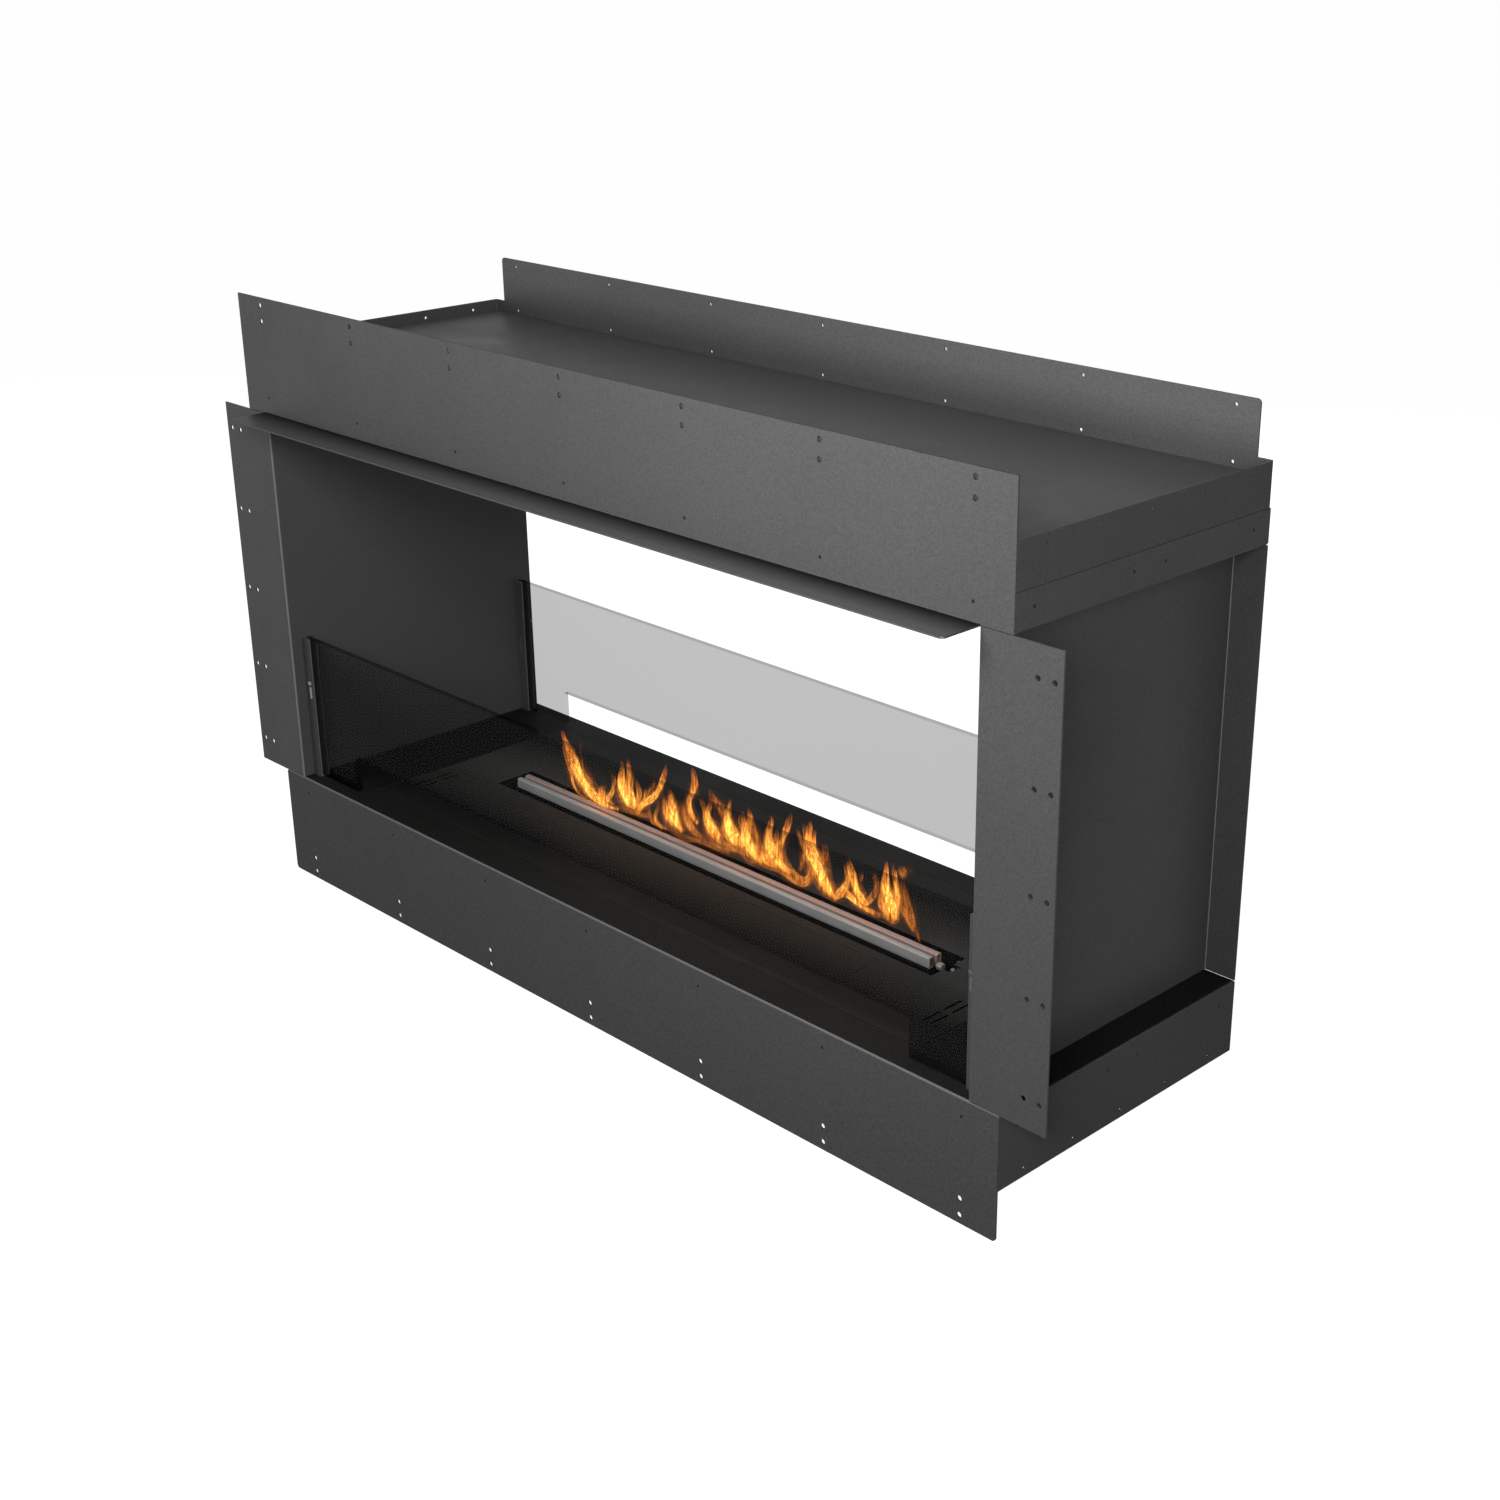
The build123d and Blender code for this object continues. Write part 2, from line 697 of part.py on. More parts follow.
igniter = probe(igniter_base_radius, igniter_radius, igniter_x, igniter_offset)
write("igniter", igniter)
sensor_x = igniter_x - sensor_setback
write("flame_sensor", probe(sensor_base_radius, sensor_radius, sensor_x, sensor_offset))

# Fuel tank: a welded box on the bottom pan, with a hole for the filler
pump_x = pipe_column_x + pump_gap + pump_head_length / 2
tank_top = deck_under - tank_top_gap
tank_right = hatch_x + tank_offset
tank_left = tank_right - tank_share * (tank_right - pump_x)
tank_front = front + tank_front_margin
tank_back = -slot_half_width - tank_slot_margin
filler_x = tank_right - filler_inset
filler_y = (tank_front + tank_back) / 2
tank = along_z(area(tank_left, tank_right, tank_front, tank_back), pan_floor, tank_top)
tank = fillet(tank.edges().filter_by(Axis.Z), tank_corner)
tank_inside = area(
    tank_left + tank_wall,
    tank_right - tank_wall,
    tank_front + tank_wall,
    tank_back - tank_wall,
)
tank_inside = fillet(tank_inside.vertices(), tank_corner - tank_wall)
tank -= along_z(tank_inside, pan_floor + tank_wall, tank_top - tank_wall)
filler_hole = Pos(filler_x, filler_y) * Circle(neck_radius - neck_wall)
tank -= along_z(filler_hole, tank_top - overrun, tank_top + overrun)
write("fuel_tank", tank)

# Filler neck welded on the tank, and its quarter-turn cap
neck_ring = Pos(filler_x, filler_y) * (Circle(neck_radius) - Circle(neck_radius - neck_wall))
neck_rim = Pos(filler_x, filler_y) * (Circle(neck_foot_radius) - Circle(neck_radius - neck_wall))
neck_top = tank_top + neck_height
filler_neck = along_z(neck_ring, tank_top, neck_top)
filler_neck += along_z(neck_rim, tank_top, tank_top + neck_foot)
write("filler_neck", filler_neck)
cap_low = neck_top - cap_skirt
cap_high = neck_top + cap_seat_gap + cap_top
cap_outline = Pos(filler_x, filler_y) * Circle(cap_radius)
cap = along_z(cap_outline, cap_low, cap_high)
cap = chamfer(cap.faces().sort_by(Axis.Z)[-1].edges(), cap_grip_radius / 2)
grip_places = [Pos(filler_x, filler_y) * loc for loc in PolarLocations(cap_radius, cap_grips)]
grips = Sketch() + [place * Circle(cap_grip_radius / 2) for place in grip_places]
cap -= along_z(grips, cap_low - overrun, cap_high + overrun)
cap_bore = Pos(filler_x, filler_y) * Circle(neck_radius + cap_running_gap)
cap -= along_z(cap_bore, cap_low - overrun, neck_top + cap_seat_gap)
write("filler_cap", cap)

# Fuel pump: a square head with a round motor behind it
pump_y = rear - pump_rear_margin
pump_head = Pos(pump_y, pan_floor + pump_head_width / 2) * Rectangle(pump_head_width, pump_head_width)
pump = along_x(pump_head, pump_x - pump_head_length / 2, pump_x + pump_head_length / 2)
pump = chamfer(pump.edges().filter_by(Axis.X), plug_chamfer)
motor_area = Pos(pump_y, pan_floor + pump_head_width / 2) * Circle(motor_radius)
motor_start = pump_x + pump_head_length / 2
motor = along_x(motor_area, motor_start, motor_start + motor_length)
motor = chamfer(motor.faces().sort_by(Axis.X)[-1].edges(), plug_chamfer)
pump += motor
write("fuel_pump", pump)


def pipe(points):
    route = FilletPolyline(*points, radius=pipe_bend)
    start = Plane(origin=route @ 0, z_dir=route % 0)
    return sweep(start * Circle(pipe_radius), path=route)


pipe_z = (pan_floor + trough_floor - sheet) / 2
supply = pipe([
    (-tube_end, 0, tube_z),
    (pipe_column_x, 0, tube_z),
    (pipe_column_x, 0, pipe_z),
    (pipe_column_x, pump_y, pipe_z),
    (pump_x - pump_head_length / 2, pump_y, pipe_z),
])
write("fuel_supply_pipe", supply)
suction = pipe([
    (tank_left, filler_y, pipe_z),
    (pump_x, filler_y, pipe_z),
    (pump_x, pump_y - pump_head_width / 2, pipe_z),
])
write("fuel_suction_pipe", suction)

# Control box beside the tank, with a panel that shows through the hatch
control_top = deck_under - control_top_gap
control_left = tank_right + control_gap
control_area = area(control_left, control_left + control_length, tank_front, tank_back)
control_box = along_z(control_area, pan_floor, control_top)
control_box = fillet(control_box.edges().filter_by(Axis.Z), control_corner)
control_box = chamfer(control_box.faces().sort_by(Axis.Z)[-1].edges(), control_corner / 3)
write("control_box", control_box)
panel_top = control_top + panel_thickness
panel_left = control_left + panel_margin
panel_area = area(
    panel_left,
    panel_left + panel_width,
    hatch_y - panel_depth / 2,
    hatch_y + panel_depth / 2,
)
panel_area = fillet(panel_area.vertices(), control_corner)
button_x = panel_left + button_inset
button_centre = Pos(button_x, hatch_y)
panel_area -= button_centre * Circle(button_stem_radius + running_gap)
write("control_panel", along_z(panel_area, control_top, panel_top))
button_under = panel_top + button_travel + button_rest_gap
button = along_z(button_centre * Circle(button_radius), button_under, button_under + button_cap)
button = chamfer(button.faces().sort_by(Axis.Z)[-1].edges(), button_cap / 4)
button += along_z(
    button_centre * Circle(button_stem_radius),
    button_under - button_stem_length,
    button_under,
)
write("standby_button", button)
lamp_place = Pos(button_x + lamp_pitch, hatch_y)
lamp = along_z(lamp_place * Circle(lamp_radius), panel_top, panel_top + lamp_radius / 2)
lamp = chamfer(lamp.faces().sort_by(Axis.Z)[-1].edges(), lamp_radius / 4)
write("status_lamp", lamp)

# Fan: a square frame under the deck with three struts that carry the hub
fan_low = deck_under - fan_thickness
fan_centre = Pos(vent_centre_x - fan_offset, vent_centre_y)
fan_area = fan_centre * (RectangleRounded(fan_size, fan_size, fan_corner) - Circle(fan_bore_radius))
fan_frame = along_z(fan_area, fan_low, deck_under)
hub_plate = Sketch() + Circle(fan_hub_radius)
for i in range(fan_strut_count):
    strut = Rectangle(fan_bore_radius + fan_strut / 2, fan_strut, align=(Align.MIN, Align.CENTER))
    hub_plate += Rot(0, 0, 360 / fan_strut_count * i) * strut
fan_frame += along_z(fan_centre * hub_plate, fan_low, fan_low + fan_plate)
write("fan_frame", fan_frame)

# Fan rotor: a hub with seven pitched blades
rotor_low = fan_low + fan_plate + fan_seat_gap
rotor_high = deck_under - fan_top_gap
hub = along_z(Circle(fan_hub_radius), rotor_low, rotor_high)
hub = chamfer(hub.faces().sort_by(Axis.Z)[-1].edges(), fan_corner / 4)
blade_reach = fan_bore_radius - fan_blade_gap
blade_length = blade_reach - fan_hub_radius / 2
blade_x = (blade_reach + fan_hub_radius / 2) / 2
blade = Box(blade_length, fan_blade_chord, fan_blade_sheet)
blade = Pos(blade_x, 0, (rotor_low + rotor_high) / 2) * Rot(fan_blade_angle, 0, 0) * blade
rotor = hub
for i in range(fan_blade_count):
    rotor += Rot(0, 0, 360 / fan_blade_count * i) * blade
write("fan_rotor", fan_centre * rotor)

# Power inlet: a snap-in socket with three blades, let into the rear skirt
flange_area = inlet_centre * RectangleRounded(inlet_flange_width, inlet_flange_height, inlet_corner)
body_area = inlet_centre * Rectangle(inlet_body_width, inlet_body_height)
cavity_area = inlet_centre * Rectangle(inlet_cavity_width, inlet_cavity_height)
cavity_area = chamfer(cavity_area.vertices().group_by(Axis.Y)[-1], inlet_corner)
inlet = along_y(flange_area, rear, rear + inlet_flange)
inlet += along_y(body_area, rear - inlet_body_depth, rear)
cavity_floor = rear + inlet_flange - inlet_cavity_depth
inlet -= along_y(cavity_area, cavity_floor, rear + inlet_flange + overrun)
pin_area = Rectangle(inlet_pin_width, inlet_pin_height)
for column, rise in ((-1, 0), (0, inlet_pin_rise), (1, 0)):
    pin = Pos(inlet_x + column * inlet_pin_spread, inlet_level + rise) * pin_area
    inlet += along_y(pin, cavity_floor - tank_wall, cavity_floor + inlet_pin_length)
write("power_inlet", inlet)
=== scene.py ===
import math

import bpy
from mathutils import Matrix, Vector


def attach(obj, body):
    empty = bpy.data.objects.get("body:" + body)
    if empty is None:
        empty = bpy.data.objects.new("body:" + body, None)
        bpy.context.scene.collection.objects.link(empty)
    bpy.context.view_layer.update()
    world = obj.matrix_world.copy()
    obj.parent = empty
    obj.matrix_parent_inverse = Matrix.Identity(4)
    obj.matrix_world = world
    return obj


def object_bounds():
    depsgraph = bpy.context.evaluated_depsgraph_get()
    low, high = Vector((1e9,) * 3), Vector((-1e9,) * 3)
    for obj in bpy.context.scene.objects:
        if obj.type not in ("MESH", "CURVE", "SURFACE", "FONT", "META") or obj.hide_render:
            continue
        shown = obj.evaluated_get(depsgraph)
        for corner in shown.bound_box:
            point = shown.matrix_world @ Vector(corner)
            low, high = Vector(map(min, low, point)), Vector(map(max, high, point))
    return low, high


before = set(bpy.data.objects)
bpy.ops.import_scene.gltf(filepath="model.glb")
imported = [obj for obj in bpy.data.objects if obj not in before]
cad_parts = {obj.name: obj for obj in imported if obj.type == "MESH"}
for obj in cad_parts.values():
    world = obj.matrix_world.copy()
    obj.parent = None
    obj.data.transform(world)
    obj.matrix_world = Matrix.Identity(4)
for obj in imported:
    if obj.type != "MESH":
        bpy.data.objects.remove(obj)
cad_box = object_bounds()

# The photograph's view: from the front right and a little above, held level,
# with a moderately long lens.
bpy.ops.object.camera_add(
    location=(1.85517, -1.64876, 1.23904),
    rotation=(math.radians(67.786), math.radians(0.0446), math.radians(44.579)),
)
camera = bpy.context.object
camera.name = "camera"
camera.data.sensor_width = 36
camera.data.lens = 52.16
camera.data.shift_x = -0.0608
camera.data.shift_y = 0.0076
camera.data.clip_end = 60
bpy.context.scene.camera = camera
bpy.context.scene.view_settings.view_transform = "Standard"
bpy.context.scene.cycles.transparent_max_bounces = 64

# Studio: a plain pale floor that runs out to white, three small softboxes close
# to the front and four wide ones above, beside and behind. The apron's lower
# edge is the lowest thing, and the floor is laid half a millimetre below it.
floor_clearance = 0.0005
studio_glow = 0.03
studio_floor_z = cad_box[0][2] - floor_clearance
bpy.ops.mesh.primitive_plane_add(size=60, location=(0, 0, studio_floor_z))
floor = bpy.context.object
floor.name = "studio_floor"


def new_material(name):
    """An empty node material with its output, ready for a finish."""
    material = bpy.data.materials.new(name)
    material.use_nodes = True
    nodes = material.node_tree.nodes
    nodes.clear()
    out = nodes.new("ShaderNodeOutputMaterial")
    out.location = (900, 0)
    return material, nodes, material.node_tree.links, out


def worked_out(nodes, links, operation, *values):
    """The result of a Math node on values that are nodes' outputs or numbers."""
    sums = nodes.new("ShaderNodeMath")
    sums.operation = operation
    for socket, value in zip(sums.inputs, values):
        if isinstance(value, float):
            socket.default_value = value
        else:
            links.new(value, socket)
    return sums.outputs[0]


def reaches_the_eye(nodes, links):
    """1 for what is seen straight, through glass or mirrored, and 0 for the
    light that falls on things."""
    path = nodes.new("ShaderNodeLightPath")
    seen = worked_out(
        nodes, links, "MAXIMUM", path.outputs["Is Camera Ray"], path.outputs["Is Transmission Ray"]
    )
    return worked_out(nodes, links, "MAXIMUM", seen, path.outputs["Is Glossy Ray"])


def mixed(nodes, links, share, first, second):
    """Two shaders in one; share is how much of it is the second."""
    mix = nodes.new("ShaderNodeMixShader")
    links.new(share, mix.inputs[0])
    links.new(first.outputs[0], mix.inputs[1])
    links.new(second.outputs[0], mix.inputs[2])
    return mix


floor_paint, nodes, links, out = new_material("studio_floor_paint")
even_light = nodes.new("ShaderNodeEmission")
even_light.inputs["Strength"].default_value = studio_glow
lit = nodes.new("ShaderNodeEmission")
lit.inputs["Strength"].default_value = 0.98
mostly_lit = nodes.new("ShaderNodeAddShader")
shadow_paint = nodes.new("ShaderNodeBsdfDiffuse")
shadow_paint.inputs["Color"].default_value = (0.24, 0.24, 0.24, 1)
links.new(lit.outputs[0], mostly_lit.inputs[0])
links.new(shadow_paint.outputs[0], mostly_lit.inputs[1])
floor_mix = mixed(nodes, links, reaches_the_eye(nodes, links), even_light, mostly_lit)
links.new(floor_mix.outputs[0], out.inputs["Surface"])
floor.data.materials.append(floor_paint)

world = bpy.data.worlds.new("studio_air")
bpy.context.scene.world = world
world.use_nodes = True
nodes, links = world.node_tree.nodes, world.node_tree.links
nodes.clear()
world_out = nodes.new("ShaderNodeOutputWorld")
soft_air = nodes.new("ShaderNodeBackground")
soft_air.inputs["Color"].default_value = (1.0, 1.0, 1.0, 1)
soft_air.inputs["Strength"].default_value = studio_glow
white_air = nodes.new("ShaderNodeBackground")
white_air.inputs["Color"].default_value = (1.0, 1.0, 1.0, 1)
white_air.inputs["Strength"].default_value = 1.0
air_mix = mixed(nodes, links, reaches_the_eye(nodes, links), soft_air, white_air)
links.new(air_mix.outputs[0], world_out.inputs["Surface"])


def soft_lamp(name, place, aim, size, power, mirrored=True):
    """A rectangular softbox at place that points at aim, out of the picture."""
    bpy.ops.object.light_add(type="AREA", location=place)
    lamp = bpy.context.object
    lamp.name = name
    lamp.data.shape = "RECTANGLE"
    lamp.data.size, lamp.data.size_y = size
    lamp.data.energy = power
    lamp.rotation_euler = (Vector(aim) - Vector(place)).to_track_quat("-Z", "Y").to_euler()
    lamp.visible_camera = False
    lamp.visible_transmission = False
    lamp.visible_glossy = mirrored
    return lamp


soft_lamp("key_softbox", (0.45, -0.9, 1.12), aim=(0.25, -0.1, 0.7), size=(0.5, 0.3), power=11)
soft_lamp("front_softbox", (1.3, -1.3, 1.0), aim=(0.3, -0.2, 0.5), size=(0.6, 0.5), power=15.5)
soft_lamp("left_softbox", (-1.4, -1.2, 0.7), aim=(-0.1, -0.2, 0.5), size=(0.6, 0.5), power=8)
for lamp_name, place, aim, size, power in (
    ("overhead_softbox", (0.0, 0.0, 2.6), (0, 0, 0.3), (2.4, 1.6), 10),
    ("right_softbox", (3.0, 0.3, 0.9), (0, 0, 0.35), (1.6, 1.2), 6),
    ("corner_softbox", (3.2, -0.9, 0.8), (0.3, -0.1, 0.4), (1.4, 1.0), 8),
    ("rear_softbox", (-1.7, 2.6, 1.0), (-0.1, 0.2, 0.35), (1.4, 1.2), 42),
):
    soft_lamp(lamp_name, place, aim, size, power, mirrored=False)

# Casing: folded sheets in a dark grey baked powder coat, satin, with the fine
# pebbled grain that such a coat has. The sheets are riveted lip over lip. The
# front folds that face forward and up or right are painted paler, as a painted
# highlight along them.
casing_tones = ((0.056, 0.056, 0.057), (0.080, 0.080, 0.081))
satin = (0.42, 0.54)
sheet_grain = (0.0016, 0.00010)
fold_highlight_tone = (0.20, 0.20, 0.20)

# Where a Mix node set to colours takes its two tones and gives its result.
first_tone, second_tone, mixed_tone = 6, 7, 2


def own_place(nodes):
    """A place on the piece, in the piece's own coordinates."""
    return nodes.new("ShaderNodeTexCoord").outputs["Object"]


def split(nodes, links, vector):
    """The X, Y and Z of a place or of a direction."""
    parts = nodes.new("ShaderNodeSeparateXYZ")
    links.new(vector, parts.inputs[0])
    return parts.outputs


def facing(nodes, links):
    """Which way the surface faces, as X, Y and Z."""
    return split(nodes, links, nodes.new("ShaderNodeNewGeometry").outputs["True Normal"])


def noise_texture(nodes, links, coords, scale, detail, roughness=0.5, distortion=0.0):
    """The value of a noise texture at the given coordinates."""
    texture = nodes.new("ShaderNodeTexNoise")
    texture.inputs["Scale"].default_value = scale
    texture.inputs["Detail"].default_value = detail
    texture.inputs["Roughness"].default_value = roughness
    texture.inputs["Distortion"].default_value = distortion
    links.new(coords, texture.inputs["Vector"])
    return texture.outputs["Fac"]


def between(nodes, links, value, low, high, start=0.35, stop=0.65):
    """Maps a value from start..stop to low..high."""
    spread = nodes.new("ShaderNodeMapRange")
    spread.inputs["From Min"].default_value = start
    spread.inputs["From Max"].default_value = stop
    spread.inputs["To Min"].default_value = low
    spread.inputs["To Max"].default_value = high
    links.new(value, spread.inputs["Value"])
    return spread.outputs["Result"]


def two_tones(nodes, links, factor, first, second):
    """A colour between two tones, each a plain colour or a node's output."""
    tones = nodes.new("ShaderNodeMix")
    tones.data_type = "RGBA"
    for number, tone in ((first_tone, first), (second_tone, second)):
        if isinstance(tone, tuple):
            tones.inputs[number].default_value = (*tone, 1)
        else:
            links.new(tone, tones.inputs[number])
    links.new(factor, tones.inputs[0])
    return tones.outputs[mixed_tone]


def bumps(nodes, links, height, strength, depth, under=None):
    """The surface with fine bumps in it, over other bumps if there are any."""
    bump = nodes.new("ShaderNodeBump")
    bump.inputs["Strength"].default_value = strength
    bump.inputs["Distance"].default_value = depth
    links.new(height, bump.inputs["Height"])
    if under is not None:
        links.new(under, bump.inputs["Normal"])
    return bump.outputs["Normal"]


def powder_coat(name, tones, roughness, grain, upward=None, painted_fold_highlight=None, shine=0.06):
    """Baked powder coat: pebbled grain, faint cloudy tone and handling marks.
    Tones are its dark and light, roughness its least and most, and grain its
    size and depth. Upward gives its level faces other tones, the fold tone is
    a painted highlight on the folds that face front and up or right, and shine
    is how much its surface mirrors."""
    material, nodes, links, out = new_material(name)
    place = own_place(nodes)
    grain_size, grain_depth = grain
    coat = nodes.new("ShaderNodeBsdfPrincipled")
    coat.inputs["Specular IOR Level"].default_value = shine
    clouds = noise_texture(nodes, links, place, scale=3.5, detail=4, roughness=0.6)
    speck = noise_texture(nodes, links, place, scale=1.0 / grain_size, detail=3, roughness=0.7)
    speckled = between(nodes, links, speck, low=-0.15, high=0.75, start=0.38, stop=0.62)
    tone = worked_out(nodes, links, "MULTIPLY_ADD", clouds, 0.45, speckled)
    paint = two_tones(nodes, links, tone, *tones)
    faces = facing(nodes, links)
    if upward:
        flat_up = between(nodes, links, faces["Z"], low=0.0, high=1.0, start=0.70, stop=0.90)
        paint = two_tones(nodes, links, flat_up, paint, two_tones(nodes, links, tone, *upward))
    # Painted highlight: a paler tone on the folds that face front and up or right.
    if painted_fold_highlight:
        outer = worked_out(nodes, links, "MAXIMUM", faces["X"], faces["Z"])
        fold = worked_out(nodes, links, "MULTIPLY", outer, faces["Y"])
        on_fold = between(nodes, links, fold, low=0.0, high=1.0, start=-0.30, stop=-0.49)
        paint = two_tones(nodes, links, on_fold, paint, painted_fold_highlight)
    links.new(paint, coat.inputs["Base Color"])
    rubs = noise_texture(nodes, links, place, scale=9.0, detail=6, roughness=0.65, distortion=0.4)
    links.new(between(nodes, links, rubs, *roughness), coat.inputs["Roughness"])
    pebbles = nodes.new("ShaderNodeTexVoronoi")
    pebbles.inputs["Scale"].default_value = 0.8 / grain_size
    links.new(place, pebbles.inputs["Vector"])
    fine = bumps(nodes, links, speck, strength=0.35, depth=grain_depth)
    orange_peel = bumps(
        nodes, links, pebbles.outputs["Distance"], strength=0.25, depth=grain_depth, under=fine
    )
    links.new(orange_peel, coat.inputs["Normal"])
    links.new(coat.outputs[0], out.inputs["Surface"])
    return material


def finish(node_name, material):
    """Gives a CAD node its finish in every material slot it has."""
    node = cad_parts[node_name]
    if not node.data.materials:
        node.data.materials.append(material)
    for slot in node.material_slots:
        slot.material = material


casing_coat = powder_coat("casing_coat", casing_tones, satin, sheet_grain, painted_fold_highlight=fold_highlight_tone)
for sheet_name in (
    "base_bottom_pan", "ceiling_tray", "top_plate", "left_side_wall", "right_side_wall",
):
    finish(sheet_name, casing_coat)

# Glass channels: folded sheets that stand on the walls and hold the panes. They
# are sprayed with the casing's coat, a shade darker than the walls.
channel_tones = ((0.050, 0.050, 0.050), (0.070, 0.070, 0.070))
channel_coat = powder_coat("channel_coat", channel_tones, satin, sheet_grain)
for sheet_name in (
    "front_left_channel", "front_right_channel", "rear_left_channel", "rear_right_channel",
):
    finish(sheet_name, channel_coat)

# Front top panel: one folded and punched sheet with the casing's coat. Painted
# shade darkens the top of its shelf in the crease where the shelf starts, and
# fades out towards the shelf's front.
shelf_front_y, shelf_crease_y = -0.245, -0.208
crease_shade = (0.006, 0.006, 0.006)


def reopened(material):
    """A finished coat's nodes, links and shader, and the colour that it now has,
    for one more layer."""
    nodes, links = material.node_tree.nodes, material.node_tree.links
    shader = next(node for node in nodes if node.type == "BSDF_PRINCIPLED")
    return nodes, links, shader, shader.inputs["Base Color"].links[0].from_socket


panel_coat = powder_coat(
    "front_panel_coat", casing_tones, satin, sheet_grain, painted_fold_highlight=fold_highlight_tone
)
nodes, links, coat, unshaded_coat = reopened(panel_coat)
to_crease = between(
    nodes, links, split(nodes, links, own_place(nodes))["Y"],
    low=0.0, high=1.0, start=shelf_front_y, stop=shelf_crease_y,
)
on_top = between(nodes, links, facing(nodes, links)["Z"], low=0.0, high=1.0, start=0.4, stop=0.8)
# Painted shade in the shelf's crease, on its top faces.
crease = worked_out(nodes, links, "MULTIPLY", to_crease, on_top)
links.new(two_tones(nodes, links, crease, unshaded_coat, crease_shade), coat.inputs["Base Color"])
finish("front_top_panel", panel_coat)

# Upper frame: the folded strip round the roof box's ends and rear. It has the
# same coat, with painted light that keeps it a little darker low down and makes
# it paler towards the top of the tall rear flange.
painted_light_from_z, painted_light_to_z = 0.682, 0.722
upper_coat = powder_coat("upper_frame_coat", casing_tones, satin, sheet_grain)
nodes, links, coat, unlit_coat = reopened(upper_coat)
# Painted light: the coat's colour is scaled paler with height.
painted_light_scale = nodes.new("ShaderNodeVectorMath")
painted_light_scale.operation = "SCALE"
links.new(unlit_coat, painted_light_scale.inputs[0])
painted_lift = between(
    nodes, links, split(nodes, links, own_place(nodes))["Z"],
    low=0.95, high=1.55, start=painted_light_from_z, stop=painted_light_to_z,
)
links.new(painted_lift, painted_light_scale.inputs["Scale"])
links.new(painted_light_scale.outputs[0], coat.inputs["Base Color"])
finish("upper_frame", upper_coat)

# Floor tray: the folded base skin, with the same coat outside. Its level faces,
# the floor inside and the ledges at its ends, are painted near black as shade,
# and its front folds carry the painted fold highlight.
finish("floor_tray", powder_coat(
    "floor_tray_coat", ((0.061, 0.061, 0.062), (0.087, 0.087, 0.088)), satin, (0.0018, 0.00010),
    upward=((0.002, 0.002, 0.002), (0.022, 0.022, 0.021)), painted_fold_highlight=(0.15, 0.15, 0.15), shine=0.015,
))

# Rivets: blind rivets that join the trays' lips, set flush with the outside.
# They are painted near black as shade, so that they read as dark holes.
rivet_hole_shade_tones = ((0.010, 0.010, 0.010), (0.018, 0.018, 0.018))
rivet_shade_coat = powder_coat("rivet_shade_coat", rivet_hole_shade_tones, (0.45, 0.60), (0.0006, 0.00006))
for row in ("front_rivets", "rear_rivets", "left_rivets", "right_rivets"):
    finish(row, rivet_shade_coat)

# Glass linings: soft strips of dark grey heat-resistant rubber, moulded to fit
# the glass channels and closed at the foot.


def moulded(name, dark, light, roughness, grain_size, grain_depth):
    """Moulded rubber or plastic with a fine spark-eroded grain."""
    material, nodes, links, out = new_material(name)
    place = own_place(nodes)
    body = nodes.new("ShaderNodeBsdfPrincipled")
    mottle = noise_texture(nodes, links, place, scale=60.0, detail=4)
    links.new(two_tones(nodes, links, mottle, dark, light), body.inputs["Base Color"])
    rough = between(nodes, links, mottle, roughness - 0.06, roughness + 0.06)
    links.new(rough, body.inputs["Roughness"])
    texture = noise_texture(nodes, links, place, scale=1.0 / grain_size, detail=2)
    links.new(bumps(nodes, links, texture, strength=0.4, depth=grain_depth), body.inputs["Normal"])
    links.new(body.outputs[0], out.inputs["Surface"])
    return material


lining_rubber = moulded(
    "lining_rubber", (0.085, 0.085, 0.085), (0.110, 0.110, 0.110), 0.75, 0.0005, 0.00008
)
finish("glass_linings", lining_rubber)

# Clips and their screws: brushed stainless, bare on the left channels and
# painted over on the right ones. The brushing runs along each piece.
clip_paint = (0.05, 0.05, 0.05)
clip_metal = 0.8


def brushed(name, dark, light, roughness, along, bare=1.0):
    """Brushed metal: long thin scratches along one axis, and smudges. A share
    below 1 of bare metal is one dulled by heat and oxide."""
    material, nodes, links, out = new_material(name)
    place = own_place(nodes)
    metal = nodes.new("ShaderNodeBsdfPrincipled")
    metal.inputs["Metallic"].default_value = bare
    squeeze = nodes.new("ShaderNodeMapping")
    stretch = {"x": (6, 900, 900), "y": (900, 6, 900), "z": (900, 900, 6)}[along]
    squeeze.inputs["Scale"].default_value = stretch
    links.new(place, squeeze.inputs["Vector"])
    lines = noise_texture(nodes, links, squeeze.outputs[0], scale=1.0, detail=3, roughness=0.6)
    smudge = noise_texture(nodes, links, place, scale=26.0, detail=4, roughness=0.6, distortion=0.6)
    links.new(two_tones(nodes, links, smudge, dark, light), metal.inputs["Base Color"])
    scratched = between(nodes, links, lines, roughness - 0.07, roughness + 0.07)
    smudged = between(nodes, links, smudge, -0.04, 0.05)
    links.new(worked_out(nodes, links, "ADD", scratched, smudged), metal.inputs["Roughness"])
    links.new(bumps(nodes, links, lines, strength=0.25, depth=0.00006), metal.inputs["Normal"])
    links.new(metal.outputs[0], out.inputs["Surface"])
    return material


